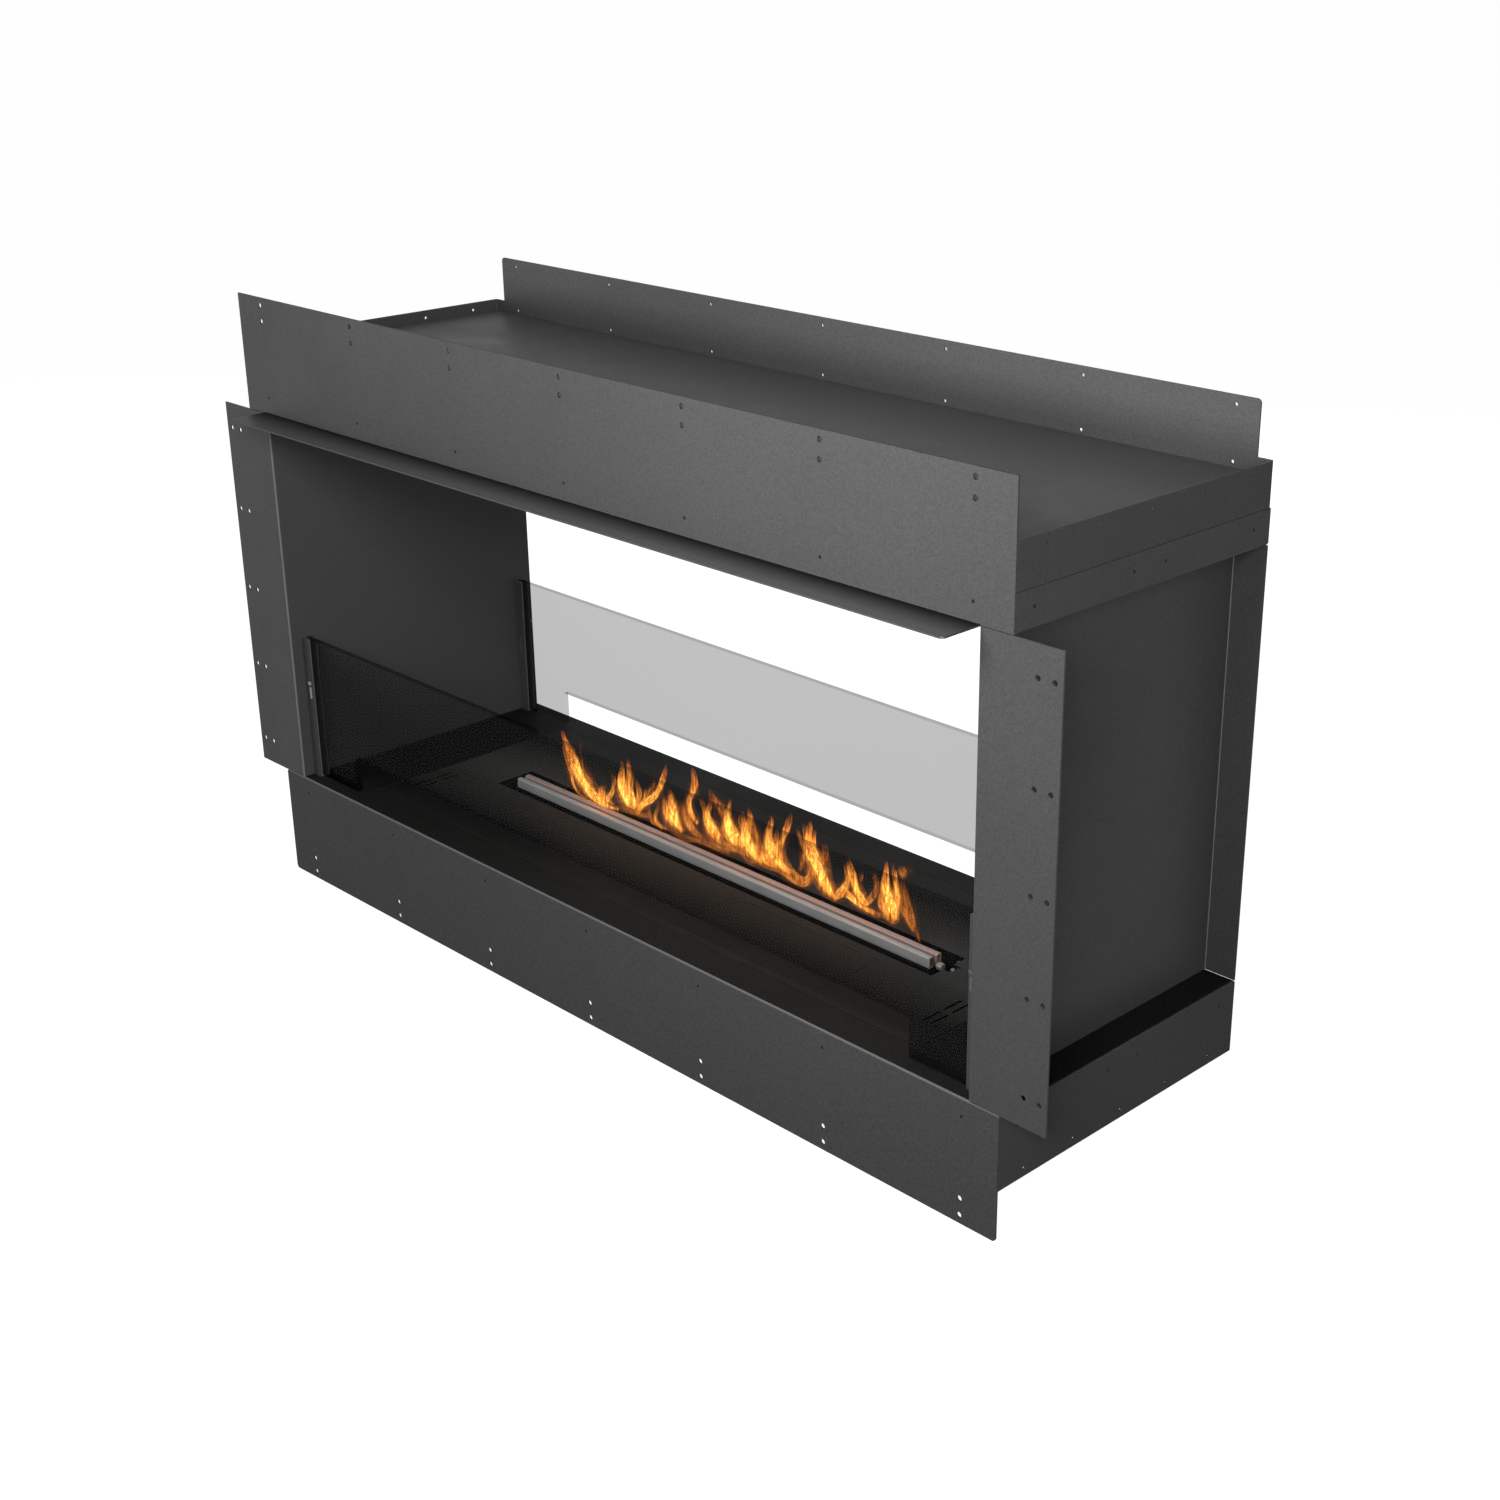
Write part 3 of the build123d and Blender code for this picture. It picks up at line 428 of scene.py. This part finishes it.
clip_steel = brushed("clip_steel", (0.36, 0.36, 0.35), (0.48, 0.48, 0.47), 0.44, "z", clip_metal)
nodes, links, metal, bare_steel = reopened(clip_steel)
side = split(nodes, links, own_place(nodes))["X"]
coated = between(nodes, links, side, low=0.0, high=1.0, start=-0.01, stop=0.01)
links.new(two_tones(nodes, links, coated, bare_steel, clip_paint), metal.inputs["Base Color"])
uncoated = between(nodes, links, side, low=clip_metal, high=0.0, start=-0.01, stop=0.01)
links.new(uncoated, metal.inputs["Metallic"])
finish("glass_clips", clip_steel)
finish("clip_screws", clip_steel)

# Panes: 8 mm toughened glass with a grey tint. They stand loose in the lined
# channels, and their ground top and bottom edges look darker.


def pane_glass():
    """Tinted clear pane with thin reflections, smears and ground edges."""
    material, nodes, links, out = new_material("pane_glass")
    clear = nodes.new("ShaderNodeBsdfTransparent")
    clear.inputs["Color"].default_value = (0.716, 0.716, 0.716, 1)
    edge = nodes.new("ShaderNodeBsdfTransparent")
    edge.inputs["Color"].default_value = (0.58, 0.60, 0.59, 1)
    level = worked_out(nodes, links, "ABSOLUTE", facing(nodes, links)["Z"])
    upright = between(nodes, links, level, low=1.0, high=0.0, start=0.3, stop=0.7)
    body = mixed(nodes, links, upright, edge, clear)
    sheen = nodes.new("ShaderNodeBsdfGlossy")
    sheen.inputs["Color"].default_value = (0.07, 0.07, 0.07, 1)
    smears = noise_texture(
        nodes, links, own_place(nodes), scale=7.0, detail=5, roughness=0.6, distortion=0.8
    )
    links.new(between(nodes, links, smears, 0.01, 0.05), sheen.inputs["Roughness"])
    slant = nodes.new("ShaderNodeLayerWeight")
    slant.inputs["Blend"].default_value = 0.5
    steep = worked_out(nodes, links, "POWER", slant.outputs["Facing"], 5.0)
    mirroring = between(nodes, links, steep, low=0.03, high=0.80, start=0.0, stop=1.0)
    surface = mixed(nodes, links, mirroring, body, sheen)
    links.new(surface.outputs[0], out.inputs["Surface"])
    return material


glass = pane_glass()
finish("front_glass", glass)
finish("rear_glass", glass)

# Burner deck and its lift-out hatch: sheet in a black heat-resistant coat, on
# welded ledge frames, with the trough below it. Their faces that are not level,
# the cut edges in the seams and vent slots among them, are painted near black as
# shade, and their level faces near the burner are painted paler and warmer as
# the flames' glow.
flame_glow_tones = ((0.086, 0.086, 0.079), (0.130, 0.130, 0.119))
full_glow_to, black_from = 0.020, 0.110
# Painted shade: the faces that are not level are near black.
deck_coat = powder_coat(
    "deck_coat", ((0.002, 0.002, 0.002), (0.004, 0.004, 0.004)), (0.36, 0.48), (0.0018, 0.00008),
    upward=((0.004, 0.004, 0.004), (0.026, 0.026, 0.025)), shine=0.012,
)
nodes, links, coat, deck_colour = reopened(deck_coat)
level_black = deck_colour.node.inputs[second_tone]
place = own_place(nodes)
from_burner = worked_out(nodes, links, "ABSOLUTE", split(nodes, links, place)["Y"])
near_burner = between(
    nodes, links, from_burner, low=1.0, high=0.0, start=full_glow_to, stop=black_from
)
# Painted glow of the flames on the level faces near the burner.
glow_mottle = noise_texture(nodes, links, place, scale=700.0, detail=4, roughness=0.6)
painted_glow = two_tones(nodes, links, glow_mottle, *flame_glow_tones)
glow_by_burner = two_tones(nodes, links, near_burner, level_black.links[0].from_socket, painted_glow)
links.new(glow_by_burner, level_black)
finish("burner_deck", deck_coat)
finish("service_hatch", deck_coat)
trough_tones = ((0.006, 0.006, 0.006), (0.010, 0.010, 0.010))
trough_coat = powder_coat("trough_coat", trough_tones, (0.50, 0.65), (0.0010, 0.00008))
for sheet_name in ("burner_trough", "deck_frame", "hatch_frame", "burner_housing"):
    finish(sheet_name, trough_coat)

# Burner rails, end plug and probes: brushed stainless, slightly dulled by the
# heat. Along the front of the slot the rails are painted dark copper, a heat tint
# with painted shade of the slot on it, and behind the slot the heat has blushed
# the steel. The vapour tube between the rails has a copper heat tint.
slot_shade_y = (-0.0052, -0.0034)
blushed_y = (-0.0010, 0.0010)
rail_steel = brushed("rail_steel", (0.92, 0.92, 0.91), (0.98, 0.98, 0.97), 0.55, "x", 0.5)
nodes, links, metal, plain_steel = reopened(rail_steel)
place = own_place(nodes)
across = split(nodes, links, place)["Y"]
heat_tint = noise_texture(nodes, links, place, scale=40.0, detail=4)
slot_shade_scorch = two_tones(nodes, links, heat_tint, (0.16, 0.09, 0.07), (0.34, 0.19, 0.14))
blushed = two_tones(nodes, links, heat_tint, (0.90, 0.66, 0.58), (0.97, 0.78, 0.71))
# Painted shade of the slot, over a heat tint, on the rails along the slot.
at_slot = between(nodes, links, across, 0.0, 1.0, *slot_shade_y)
near_slot = two_tones(nodes, links, at_slot, plain_steel, slot_shade_scorch)
past_slot = between(nodes, links, across, 0.0, 1.0, *blushed_y)
behind_slot = two_tones(nodes, links, past_slot, near_slot, blushed)
links.new(behind_slot, metal.inputs["Base Color"])
finish("front_burner_rail", rail_steel)
finish("rear_burner_rail", rail_steel)
finish("end_plug", brushed("plug_steel", (0.84, 0.84, 0.83), (0.94, 0.94, 0.93), 0.40, "x", 0.6))
finish("vapour_tube", brushed("tube_copper", (0.30, 0.15, 0.10), (0.44, 0.24, 0.17), 0.40, "x", 0.5))
probe_steel = brushed("probe_steel", (0.34, 0.33, 0.32), (0.46, 0.45, 0.44), 0.40, "z", 0.7)
finish("igniter", probe_steel)
finish("flame_sensor", probe_steel)

# Flames over the slot, in light only: threads of burning vapour that hang in
# swags a little above the rails and rise in tongues. They are drawn so that the
# burner reads as lit, and nothing of them is solid.
mm_per_m = 1000

# The threads were read from the photograph, enlarged eight times. Each
# has its heat, how many millimetres its tip drifts forward or back, and its
# line from tip to foot as steps right and down from a corner, and width.
photo_width = 1500
enlarged = 8
left_corner = (550, 720)
left_threads = (
    (0.95, 1, (
        (96, 85, 6), (118, 150, 30), (150, 230, 62), (185, 320, 80), (220, 410, 86), (270, 500, 80),
        (325, 575, 70), (390, 640, 54), (470, 692, 36), (540, 712, 20),
    )),
    (0.45, -3, (
        (98, 80, 4), (112, 170, 26), (128, 260, 36), (150, 350, 34), (172, 440, 24), (190, 520, 16),
        (226, 585, 12), (286, 625, 8),
    )),
    (0.30, -1, (
        (246, 178, 5), (245, 251, 14), (252, 330, 18), (268, 400, 22), (310, 470, 26), (350, 540, 26),
    )),
    (0.22, -3, ((176, 430, 8), (165, 480, 14), (146, 520, 16), (105, 566, 8))),
    (0.60, 3, ((447, 515, 10), (420, 545, 44), (412, 585, 56), (440, 630, 50), (500, 669, 30))),
    (0.70, -1, (
        (489, 418, 5), (508, 470, 22), (508, 530, 30), (488, 590, 34), (455, 640, 34), (430, 670, 20),
    )),
    (1.00, 0, (
        (566, 325, 6), (575, 390, 34), (572, 460, 54), (576, 531, 68), (596, 599, 72), (630, 660, 60),
        (680, 700, 40),
    )),
    (0.60, 3, ((622, 308, 6), (628, 370, 24), (632, 440, 36), (622, 520, 50), (600, 590, 50))),
    (0.85, 1, (
        (655, 420, 10), (652, 490, 30), (640, 560, 47), (650, 620, 56), (680, 670, 46), (740, 690, 30),
    )),
    (0.60, -2, ((682, 470, 6), (702, 530, 28), (713, 590, 38), (700, 650, 36), (650, 689, 24))),
    (0.75, 2, ((760, 545, 6), (772, 590, 34), (762, 640, 48), (730, 685, 50), (700, 740, 30))),
    (0.25, 5, ((836, 470, 8), (828, 511, 30), (806, 560, 35), (790, 600, 24))),
    (0.90, -1, (
        (932, 355, 5), (920, 419, 26), (900, 490, 40), (876, 550, 46), (842, 600, 48), (796, 645, 46),
        (742, 680, 36), (700, 720, 20),
    )),
    (0.90, 2, (
        (952, 550, 8), (962, 600, 44), (972, 660, 70), (982, 721, 84), (990, 780, 76), (1020, 840, 56),
        (1060, 890, 34),
    )),
    (0.70, -2, ((905, 585, 8), (912, 650, 34), (925, 720, 46), (950, 790, 50), (985, 850, 34))),
    (0.50, 0, (
        (866, 620, 8), (868, 680, 22), (850, 740, 26), (846, 800, 30), (880, 850, 26), (930, 868, 18),
    )),
    (0.35, 4, ((780, 650, 10), (790, 700, 26), (800, 760, 26), (826, 820, 22), (866, 849, 14))),
    (0.62, 0, (
        (1134, 380, 5), (1150, 439, 34), (1156, 510, 52), (1140, 580, 50), (1116, 640, 42), (1112, 700, 40),
        (1140, 770, 44), (1180, 830, 40),
    )),
    (0.45, 3, (
        (1020, 640, 8), (1051, 700, 46), (1080, 760, 60), (1110, 830, 60), (1150, 890, 50), (1210, 940, 34),
    )),
    (0.60, 1, (
        (1190, 610, 8), (1222, 670, 34), (1246, 730, 44), (1250, 800, 46), (1268, 860, 50), (1310, 920, 46),
        (1370, 980, 30),
    )),
    (0.95, -1, (
        (1278, 624, 5), (1276, 690, 30), (1262, 750, 40), (1278, 820, 54), (1310, 880, 58), (1360, 940, 46),
    )),
    (0.26, 4, ((1268, 542, 6), (1300, 610, 44), (1345, 680, 66), (1385, 740, 70), (1400, 800, 40))),
    (1.00, 0, (
        (1440, 625, 5), (1432, 691, 26), (1420, 750, 50), (1422, 820, 80), (1440, 890, 96), (1481, 950, 90),
        (1540, 1000, 60),
    )),
    (0.40, 2, ((1540, 730, 8), (1524, 780, 28), (1530, 840, 30), (1560, 890, 28), (1590, 930, 20))),
    (0.70, -1, ((1589, 700, 10), (1600, 770, 40), (1590, 850, 60), (1560, 930, 70), (1530, 990, 60))),
    (0.34, -3, (
        (450, 660, 8), (520, 700, 40), (600, 715, 44), (680, 745, 44), (760, 765, 36), (830, 765, 20),
    )),
    (0.32, -2, (
        (800, 770, 8), (850, 830, 40), (930, 860, 44), (1010, 901, 46), (1090, 945, 46), (1180, 960, 40),
        (1260, 990, 40), (1350, 1030, 40), (1440, 1060, 30),
    )),
    (0.40, 2, (
        (1150, 880, 10), (1220, 930, 50), (1300, 960, 60), (1380, 1000, 70), (1470, 1030, 70),
        (1560, 1060, 60),
    )),
)
right_corner = (740, 790)
right_threads = (
    (0.35, 2, ((76, 158, 6), (84, 220, 34), (102, 300, 52), (128, 370, 50), (150, 440, 34))),
    (0.95, 0, (
        (22, 175, 6), (30, 250, 40), (40, 330, 66), (56, 400, 84), (80, 460, 90), (120, 520, 80),
        (180, 570, 56),
    )),
    (0.45, -3, ((100, 330, 8), (120, 400, 34), (138, 460, 40), (150, 519, 34))),
    (1.00, -1, (
        (256, 203, 6), (248, 270, 38), (232, 340, 60), (232, 410, 80), (256, 480, 90), (280, 540, 80),
        (330, 600, 60), (400, 660, 40),
    )),
    (0.75, 2, ((166, 405, 10), (175, 460, 36), (190, 520, 56), (220, 570, 60), (280, 610, 44))),
    (0.55, 1, (
        (405, 185, 6), (394, 250, 40), (370, 320, 50), (342, 390, 50), (318, 450, 56), (300, 520, 60),
    )),
    (0.55, -2, ((300, 300, 8), (296, 370, 34), (290, 439, 50), (300, 510, 60), (340, 580, 54))),
    (0.52, -3, (
        (60, 480, 10), (140, 560, 50), (230, 600, 56), (320, 640, 56), (400, 700, 50), (470, 740, 44),
        (525, 752, 40), (565, 715, 46), (590, 650, 40),
    )),
    (0.55, 0, (
        (340, 500, 10), (372, 580, 40), (412, 640, 40), (461, 690, 40), (510, 720, 36), (552, 690, 44),
        (570, 620, 50),
    )),
    (0.30, 3, ((455, 300, 8), (475, 360, 26), (492, 420, 28), (505, 480, 24))),
    (0.40, -3, (
        (505, 250, 6), (516, 319, 24), (524, 390, 34), (522, 470, 36), (506, 560, 34), (480, 640, 24),
    )),
    (1.00, -1, (
        (556, 245, 5), (556, 310, 40), (550, 380, 62), (556, 450, 84), (580, 520, 104), (611, 589, 104),
        (644, 660, 84), (680, 741, 66), (720, 810, 56), (770, 865, 40),
    )),
    (0.45, 2, ((600, 315, 6), (594, 380, 26), (592, 440, 34), (600, 500, 36))),
    (0.30, 4, ((668, 430, 20), (682, 490, 46), (680, 550, 40), (662, 610, 30))),
    (0.40, -3, ((560, 560, 10), (600, 650, 46), (640, 730, 40), (680, 800, 34), (730, 860, 26))),
    (0.85, -1, (
        (872, 541, 6), (879, 600, 38), (896, 670, 54), (912, 740, 56), (938, 810, 54), (975, 870, 50),
        (1020, 920, 34),
    )),
    (0.70, 1, (
        (838, 580, 8), (856, 650, 34), (863, 720, 50), (840, 780, 64), (800, 830, 62), (760, 868, 40),
    )),
    (0.80, -2, (
        (740, 770, 10), (790, 800, 40), (840, 820, 54), (880, 850, 44), (930, 900, 36), (1000, 950, 34),
        (1079, 985, 34),
    )),
    (0.22, 3, ((968, 650, 10), (972, 689, 26), (966, 740, 14))),
    (0.60, -2, (
        (1058, 655, 6), (1082, 710, 34), (1092, 770, 42), (1074, 830, 44), (1040, 880, 44), (1000, 910, 40),
        (960, 880, 30), (940, 830, 20),
    )),
    (1.00, 0, (
        (1169, 565, 5), (1172, 630, 30), (1166, 700, 46), (1166, 770, 66), (1182, 841, 84), (1206, 910, 84),
        (1230, 980, 70), (1245, 1040, 44),
    )),
    (0.65, 2, (
        (1228, 590, 6), (1232, 660, 28), (1244, 730, 40), (1252, 800, 50), (1256, 870, 56), (1250, 950, 50),
    )),
    (0.60, -2, (
        (1110, 735, 10), (1128, 800, 44), (1130, 870, 56), (1140, 930, 56), (1180, 990, 46), (1240, 1045, 30),
    )),
    (0.22, 5, ((1275, 615, 40), (1300, 650, 74), (1318, 700, 50))),
    (0.30, 1, (
        (1276, 690, 20), (1300, 760, 50), (1322, 840, 60), (1345, 930, 60), (1370, 1020, 50),
        (1400, 1110, 34),
        (1440, 1215, 10),
    )),
    (0.35, -1, (
        (1258, 700, 10), (1280, 789, 50), (1296, 880, 60), (1310, 960, 54), (1340, 1039, 40),
        (1385, 1130, 20),
    )),
    (0.36, -3, (
        (960, 900, 10), (1020, 960, 44), (1090, 1000, 44), (1160, 1010, 44), (1220, 1050, 40),
        (1280, 1040, 24),
    )),
)


def thread_line(corner, drift, readings):
    """A thread's readings as x, z and width in millimetres: each point is where
    the camera's ray meets the upright plane of the slot, moved by the drift."""
    line = []
    for number, (right, down, width) in enumerate(readings):
        ray = Vector((
            (corner[0] + right / enlarged) / photo_width - 0.5 + camera.data.shift_x,
            0.5 - (corner[1] + down / enlarged) / photo_width + camera.data.shift_y,
            -camera.data.lens / camera.data.sensor_width,
        ))
        ray.rotate(camera.rotation_euler)
        plane_y = drift * (1 - number / (len(readings) - 1)) / mm_per_m
        reach = (plane_y - camera.location.y) / ray.y
        place = (camera.location + reach * ray) * mm_per_m
        half_millimetres = round(2 * mm_per_m * reach * width / enlarged / photo_width)
        line.append((round(place.x), round(place.z), max(1, half_millimetres) / 2))
    return line


def flame_thread(name, heat, drift, line):
    """One thread as a round tube of changing width, closed at both ends, with
    its heat kept on its points: faint at the tip, strongest low, fading below."""
    tip_heat, heat_gain = 0.10, 1.5
    foot_heat, heat_loss = 0.60, 1.8
    bpy.ops.object.select_all(action="DESELECT")
    bpy.ops.curve.primitive_bezier_curve_add(location=(0, 0, 0))
    thread = bpy.context.object
    thread.name = name
    thread.data.dimensions = "3D"
    thread.data.bevel_depth = 0.5 / mm_per_m
    thread.data.bevel_resolution = 3
    thread.data.resolution_u = 5
    thread.data.use_fill_caps = True
    spline = thread.data.splines[0]
    spline.bezier_points.add(len(line) - 2)
    places = []
    for number, (point, (x, z, width)) in enumerate(zip(spline.bezier_points, line)):
        along = number / (len(line) - 1)
        point.co = (x / mm_per_m, drift * (1 - along) / mm_per_m, z / mm_per_m)
        point.radius = width
        point.handle_left_type = "AUTO"
        point.handle_right_type = "AUTO"
        places.append(point.co.copy())
    bpy.ops.object.convert(target="MESH")
    bpy.ops.object.mode_set(mode="EDIT")
    bpy.ops.mesh.select_all(action="SELECT")
    bpy.ops.mesh.normals_make_consistent(inside=False)
    bpy.ops.object.mode_set(mode="OBJECT")
    bpy.ops.object.shade_smooth()
    kept = thread.data.attributes.new("flame_heat", "FLOAT", "POINT")
    for number, vertex in enumerate(thread.data.vertices):
        nearest, along = 1.0, 0.0
        for leg, (start, end) in enumerate(zip(places, places[1:])):
            run = end - start
            share = min(1.0, max(0.0, (vertex.co - start).dot(run) / run.length_squared))
            gap = (vertex.co - start - run * share).length
            if gap < nearest:
                nearest, along = gap, (leg + share) / (len(places) - 1)
        rise = min(1.0, tip_heat + heat_gain * along)
        fall = min(1.0, foot_heat + heat_loss * (1.0 - along))
        kept.data[number].value = heat * rise * fall
    return thread


# A thread is a dim body. A wide one also has a faint wide veil round its lower
# part, and three thin brighter strands that waver in it.
body_heat, body_width = 0.40, 1.4
veil_heat, veil_width = 0.24, 2.5
strand_heat, strand_width = 0.70, 0.42
strand_offset, strand_drift = 0.30, 6
waver = 0.12
narrow = 4
threads = [
    (heat, drift, thread_line(corner, drift, readings))
    for corner, rows in ((left_corner, left_threads), (right_corner, right_threads))
    for heat, drift, readings in rows
]
strands = []
for number, (heat, drift, line) in enumerate(threads):
    body = [(x, z, body_width * width) for x, z, width in line]
    strands.append((heat * body_heat, drift, body))
    if max(width for x, z, width in line) < narrow:
        continue
    veil = [(x, z, veil_width * width) for x, z, width in line[len(line) // 3:]]
    strands.append((heat * veil_heat, drift, veil))
    for side in (-strand_offset, 0.0, strand_offset):
        strand = []
        for step, (x, z, width) in enumerate(line):
            before, after = line[max(step - 1, 0)], line[min(step + 1, len(line) - 1)]
            run = Vector((after[0] - before[0], after[1] - before[1])).normalized()
            shift = width * (side + waver * math.sin(1.9 * step + 2.4 * number + 5 * side))
            strand.append((x - run.y * shift, z + run.x * shift, strand_width * width))
        strands.append((heat * strand_heat, drift + strand_drift * side, strand))
made = [flame_thread(f"thread_{number}", *row) for number, row in enumerate(strands)]
bpy.ops.object.select_all(action="DESELECT")
for thread in made:
    thread.select_set(True)
bpy.context.view_layer.objects.active = made[0]
bpy.ops.object.join()
flames = bpy.context.object
flames.name = "flames"
bpy.ops.object.transform_apply(location=True, rotation=True, scale=True)


def flame_light():
    """Burning vapour: faint streaks of light that thin out to clear air at the
    outline, and add up to yellow where threads lie over each other."""
    orange, yellow = (1.0, 0.26, 0.034), (1.0, 0.50, 0.078)
    material, nodes, links, out = new_material("flame_light")
    draw_out = nodes.new("ShaderNodeMapping")
    draw_out.inputs["Scale"].default_value = (300, 300, 46)
    links.new(own_place(nodes), draw_out.inputs["Vector"])
    streaks = noise_texture(
        nodes, links, draw_out.outputs[0], scale=1.0, detail=4, roughness=0.6, distortion=0.7
    )
    streak = between(nodes, links, streaks, low=0.10, high=1.8, start=0.40, stop=0.60)
    heat_node = nodes.new("ShaderNodeAttribute")
    heat_node.attribute_name = "flame_heat"
    heat = heat_node.outputs["Fac"]
    power = worked_out(nodes, links, "MULTIPLY", heat, streak)
    hot = between(nodes, links, power, low=0.0, high=1.0, start=0.15, stop=0.95)
    glow = nodes.new("ShaderNodeEmission")
    links.new(two_tones(nodes, links, hot, orange, yellow), glow.inputs["Color"])
    links.new(worked_out(nodes, links, "MULTIPLY", power, 9.2), glow.inputs["Strength"])
    rim = nodes.new("ShaderNodeLayerWeight")
    rim.inputs["Blend"].default_value = 0.5
    inward = worked_out(nodes, links, "SUBTRACT", 1.0, rim.outputs["Facing"])
    soft = worked_out(nodes, links, "POWER", inward, 1.6)
    thick = between(nodes, links, heat, low=0.04, high=0.50, start=0.0, stop=0.7)
    cover = worked_out(nodes, links, "MULTIPLY", soft, thick)
    surface = mixed(nodes, links, cover, nodes.new("ShaderNodeBsdfTransparent"), glow)
    links.new(surface.outputs[0], out.inputs["Surface"])
    return material


flames.data.materials.clear()
flames.data.materials.append(flame_light())
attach(flames, "casing")

# Roof insulation: a pale mineral board, cut to size, that lies on the ceiling
# tray under the top plate.
mineral_board = moulded(
    "mineral_board", (0.52, 0.50, 0.44), (0.66, 0.64, 0.58), 0.92, 0.0020, 0.0005
)
finish("roof_insulation", mineral_board)

# Under the deck: welded stainless tank and filler, turned and drawn metal
# pump and pipes, moulded cap, fan, box, panel, inlet, button and lamp.
tank_steel = brushed("tank_steel", (0.50, 0.50, 0.50), (0.62, 0.62, 0.61), 0.36, "x")
finish("fuel_tank", tank_steel)
finish("filler_neck", brushed("neck_steel", (0.50, 0.50, 0.50), (0.62, 0.62, 0.61), 0.32, "z"))
pipe_steel = brushed("pipe_steel", (0.48, 0.48, 0.47), (0.60, 0.60, 0.59), 0.30, "x")
finish("fuel_supply_pipe", pipe_steel)
finish("fuel_suction_pipe", pipe_steel)
finish("fuel_pump", brushed("pump_metal", (0.42, 0.42, 0.43), (0.55, 0.55, 0.56), 0.42, "x"))
black_plastic = moulded(
    "black_plastic", (0.016, 0.016, 0.016), (0.026, 0.026, 0.026), 0.55, 0.0006, 0.00006
)
finish("filler_cap", black_plastic)
# Painted shade: the fan's plastic is near black, darker than the cap's, as the shade under the deck.
fan_shade_plastic = moulded(
    "fan_shade_plastic", (0.005, 0.005, 0.005), (0.009, 0.009, 0.009), 0.60, 0.0006, 0.00006
)
finish("fan_frame", fan_shade_plastic)
finish("fan_rotor", fan_shade_plastic)
button_plastic = moulded(
    "button_plastic", (0.20, 0.20, 0.20), (0.26, 0.26, 0.26), 0.45, 0.0006, 0.00005
)
finish("standby_button", button_plastic)
grey_plastic = moulded(
    "grey_plastic", (0.030, 0.030, 0.032), (0.044, 0.044, 0.046), 0.52, 0.0007, 0.00006
)
for part_name in ("control_box", "control_panel", "power_inlet"):
    finish(part_name, grey_plastic)
green_lens = moulded("green_lens", (0.03, 0.22, 0.05), (0.05, 0.32, 0.08), 0.22, 0.0010, 0.00003)
finish("status_lamp", green_lens)
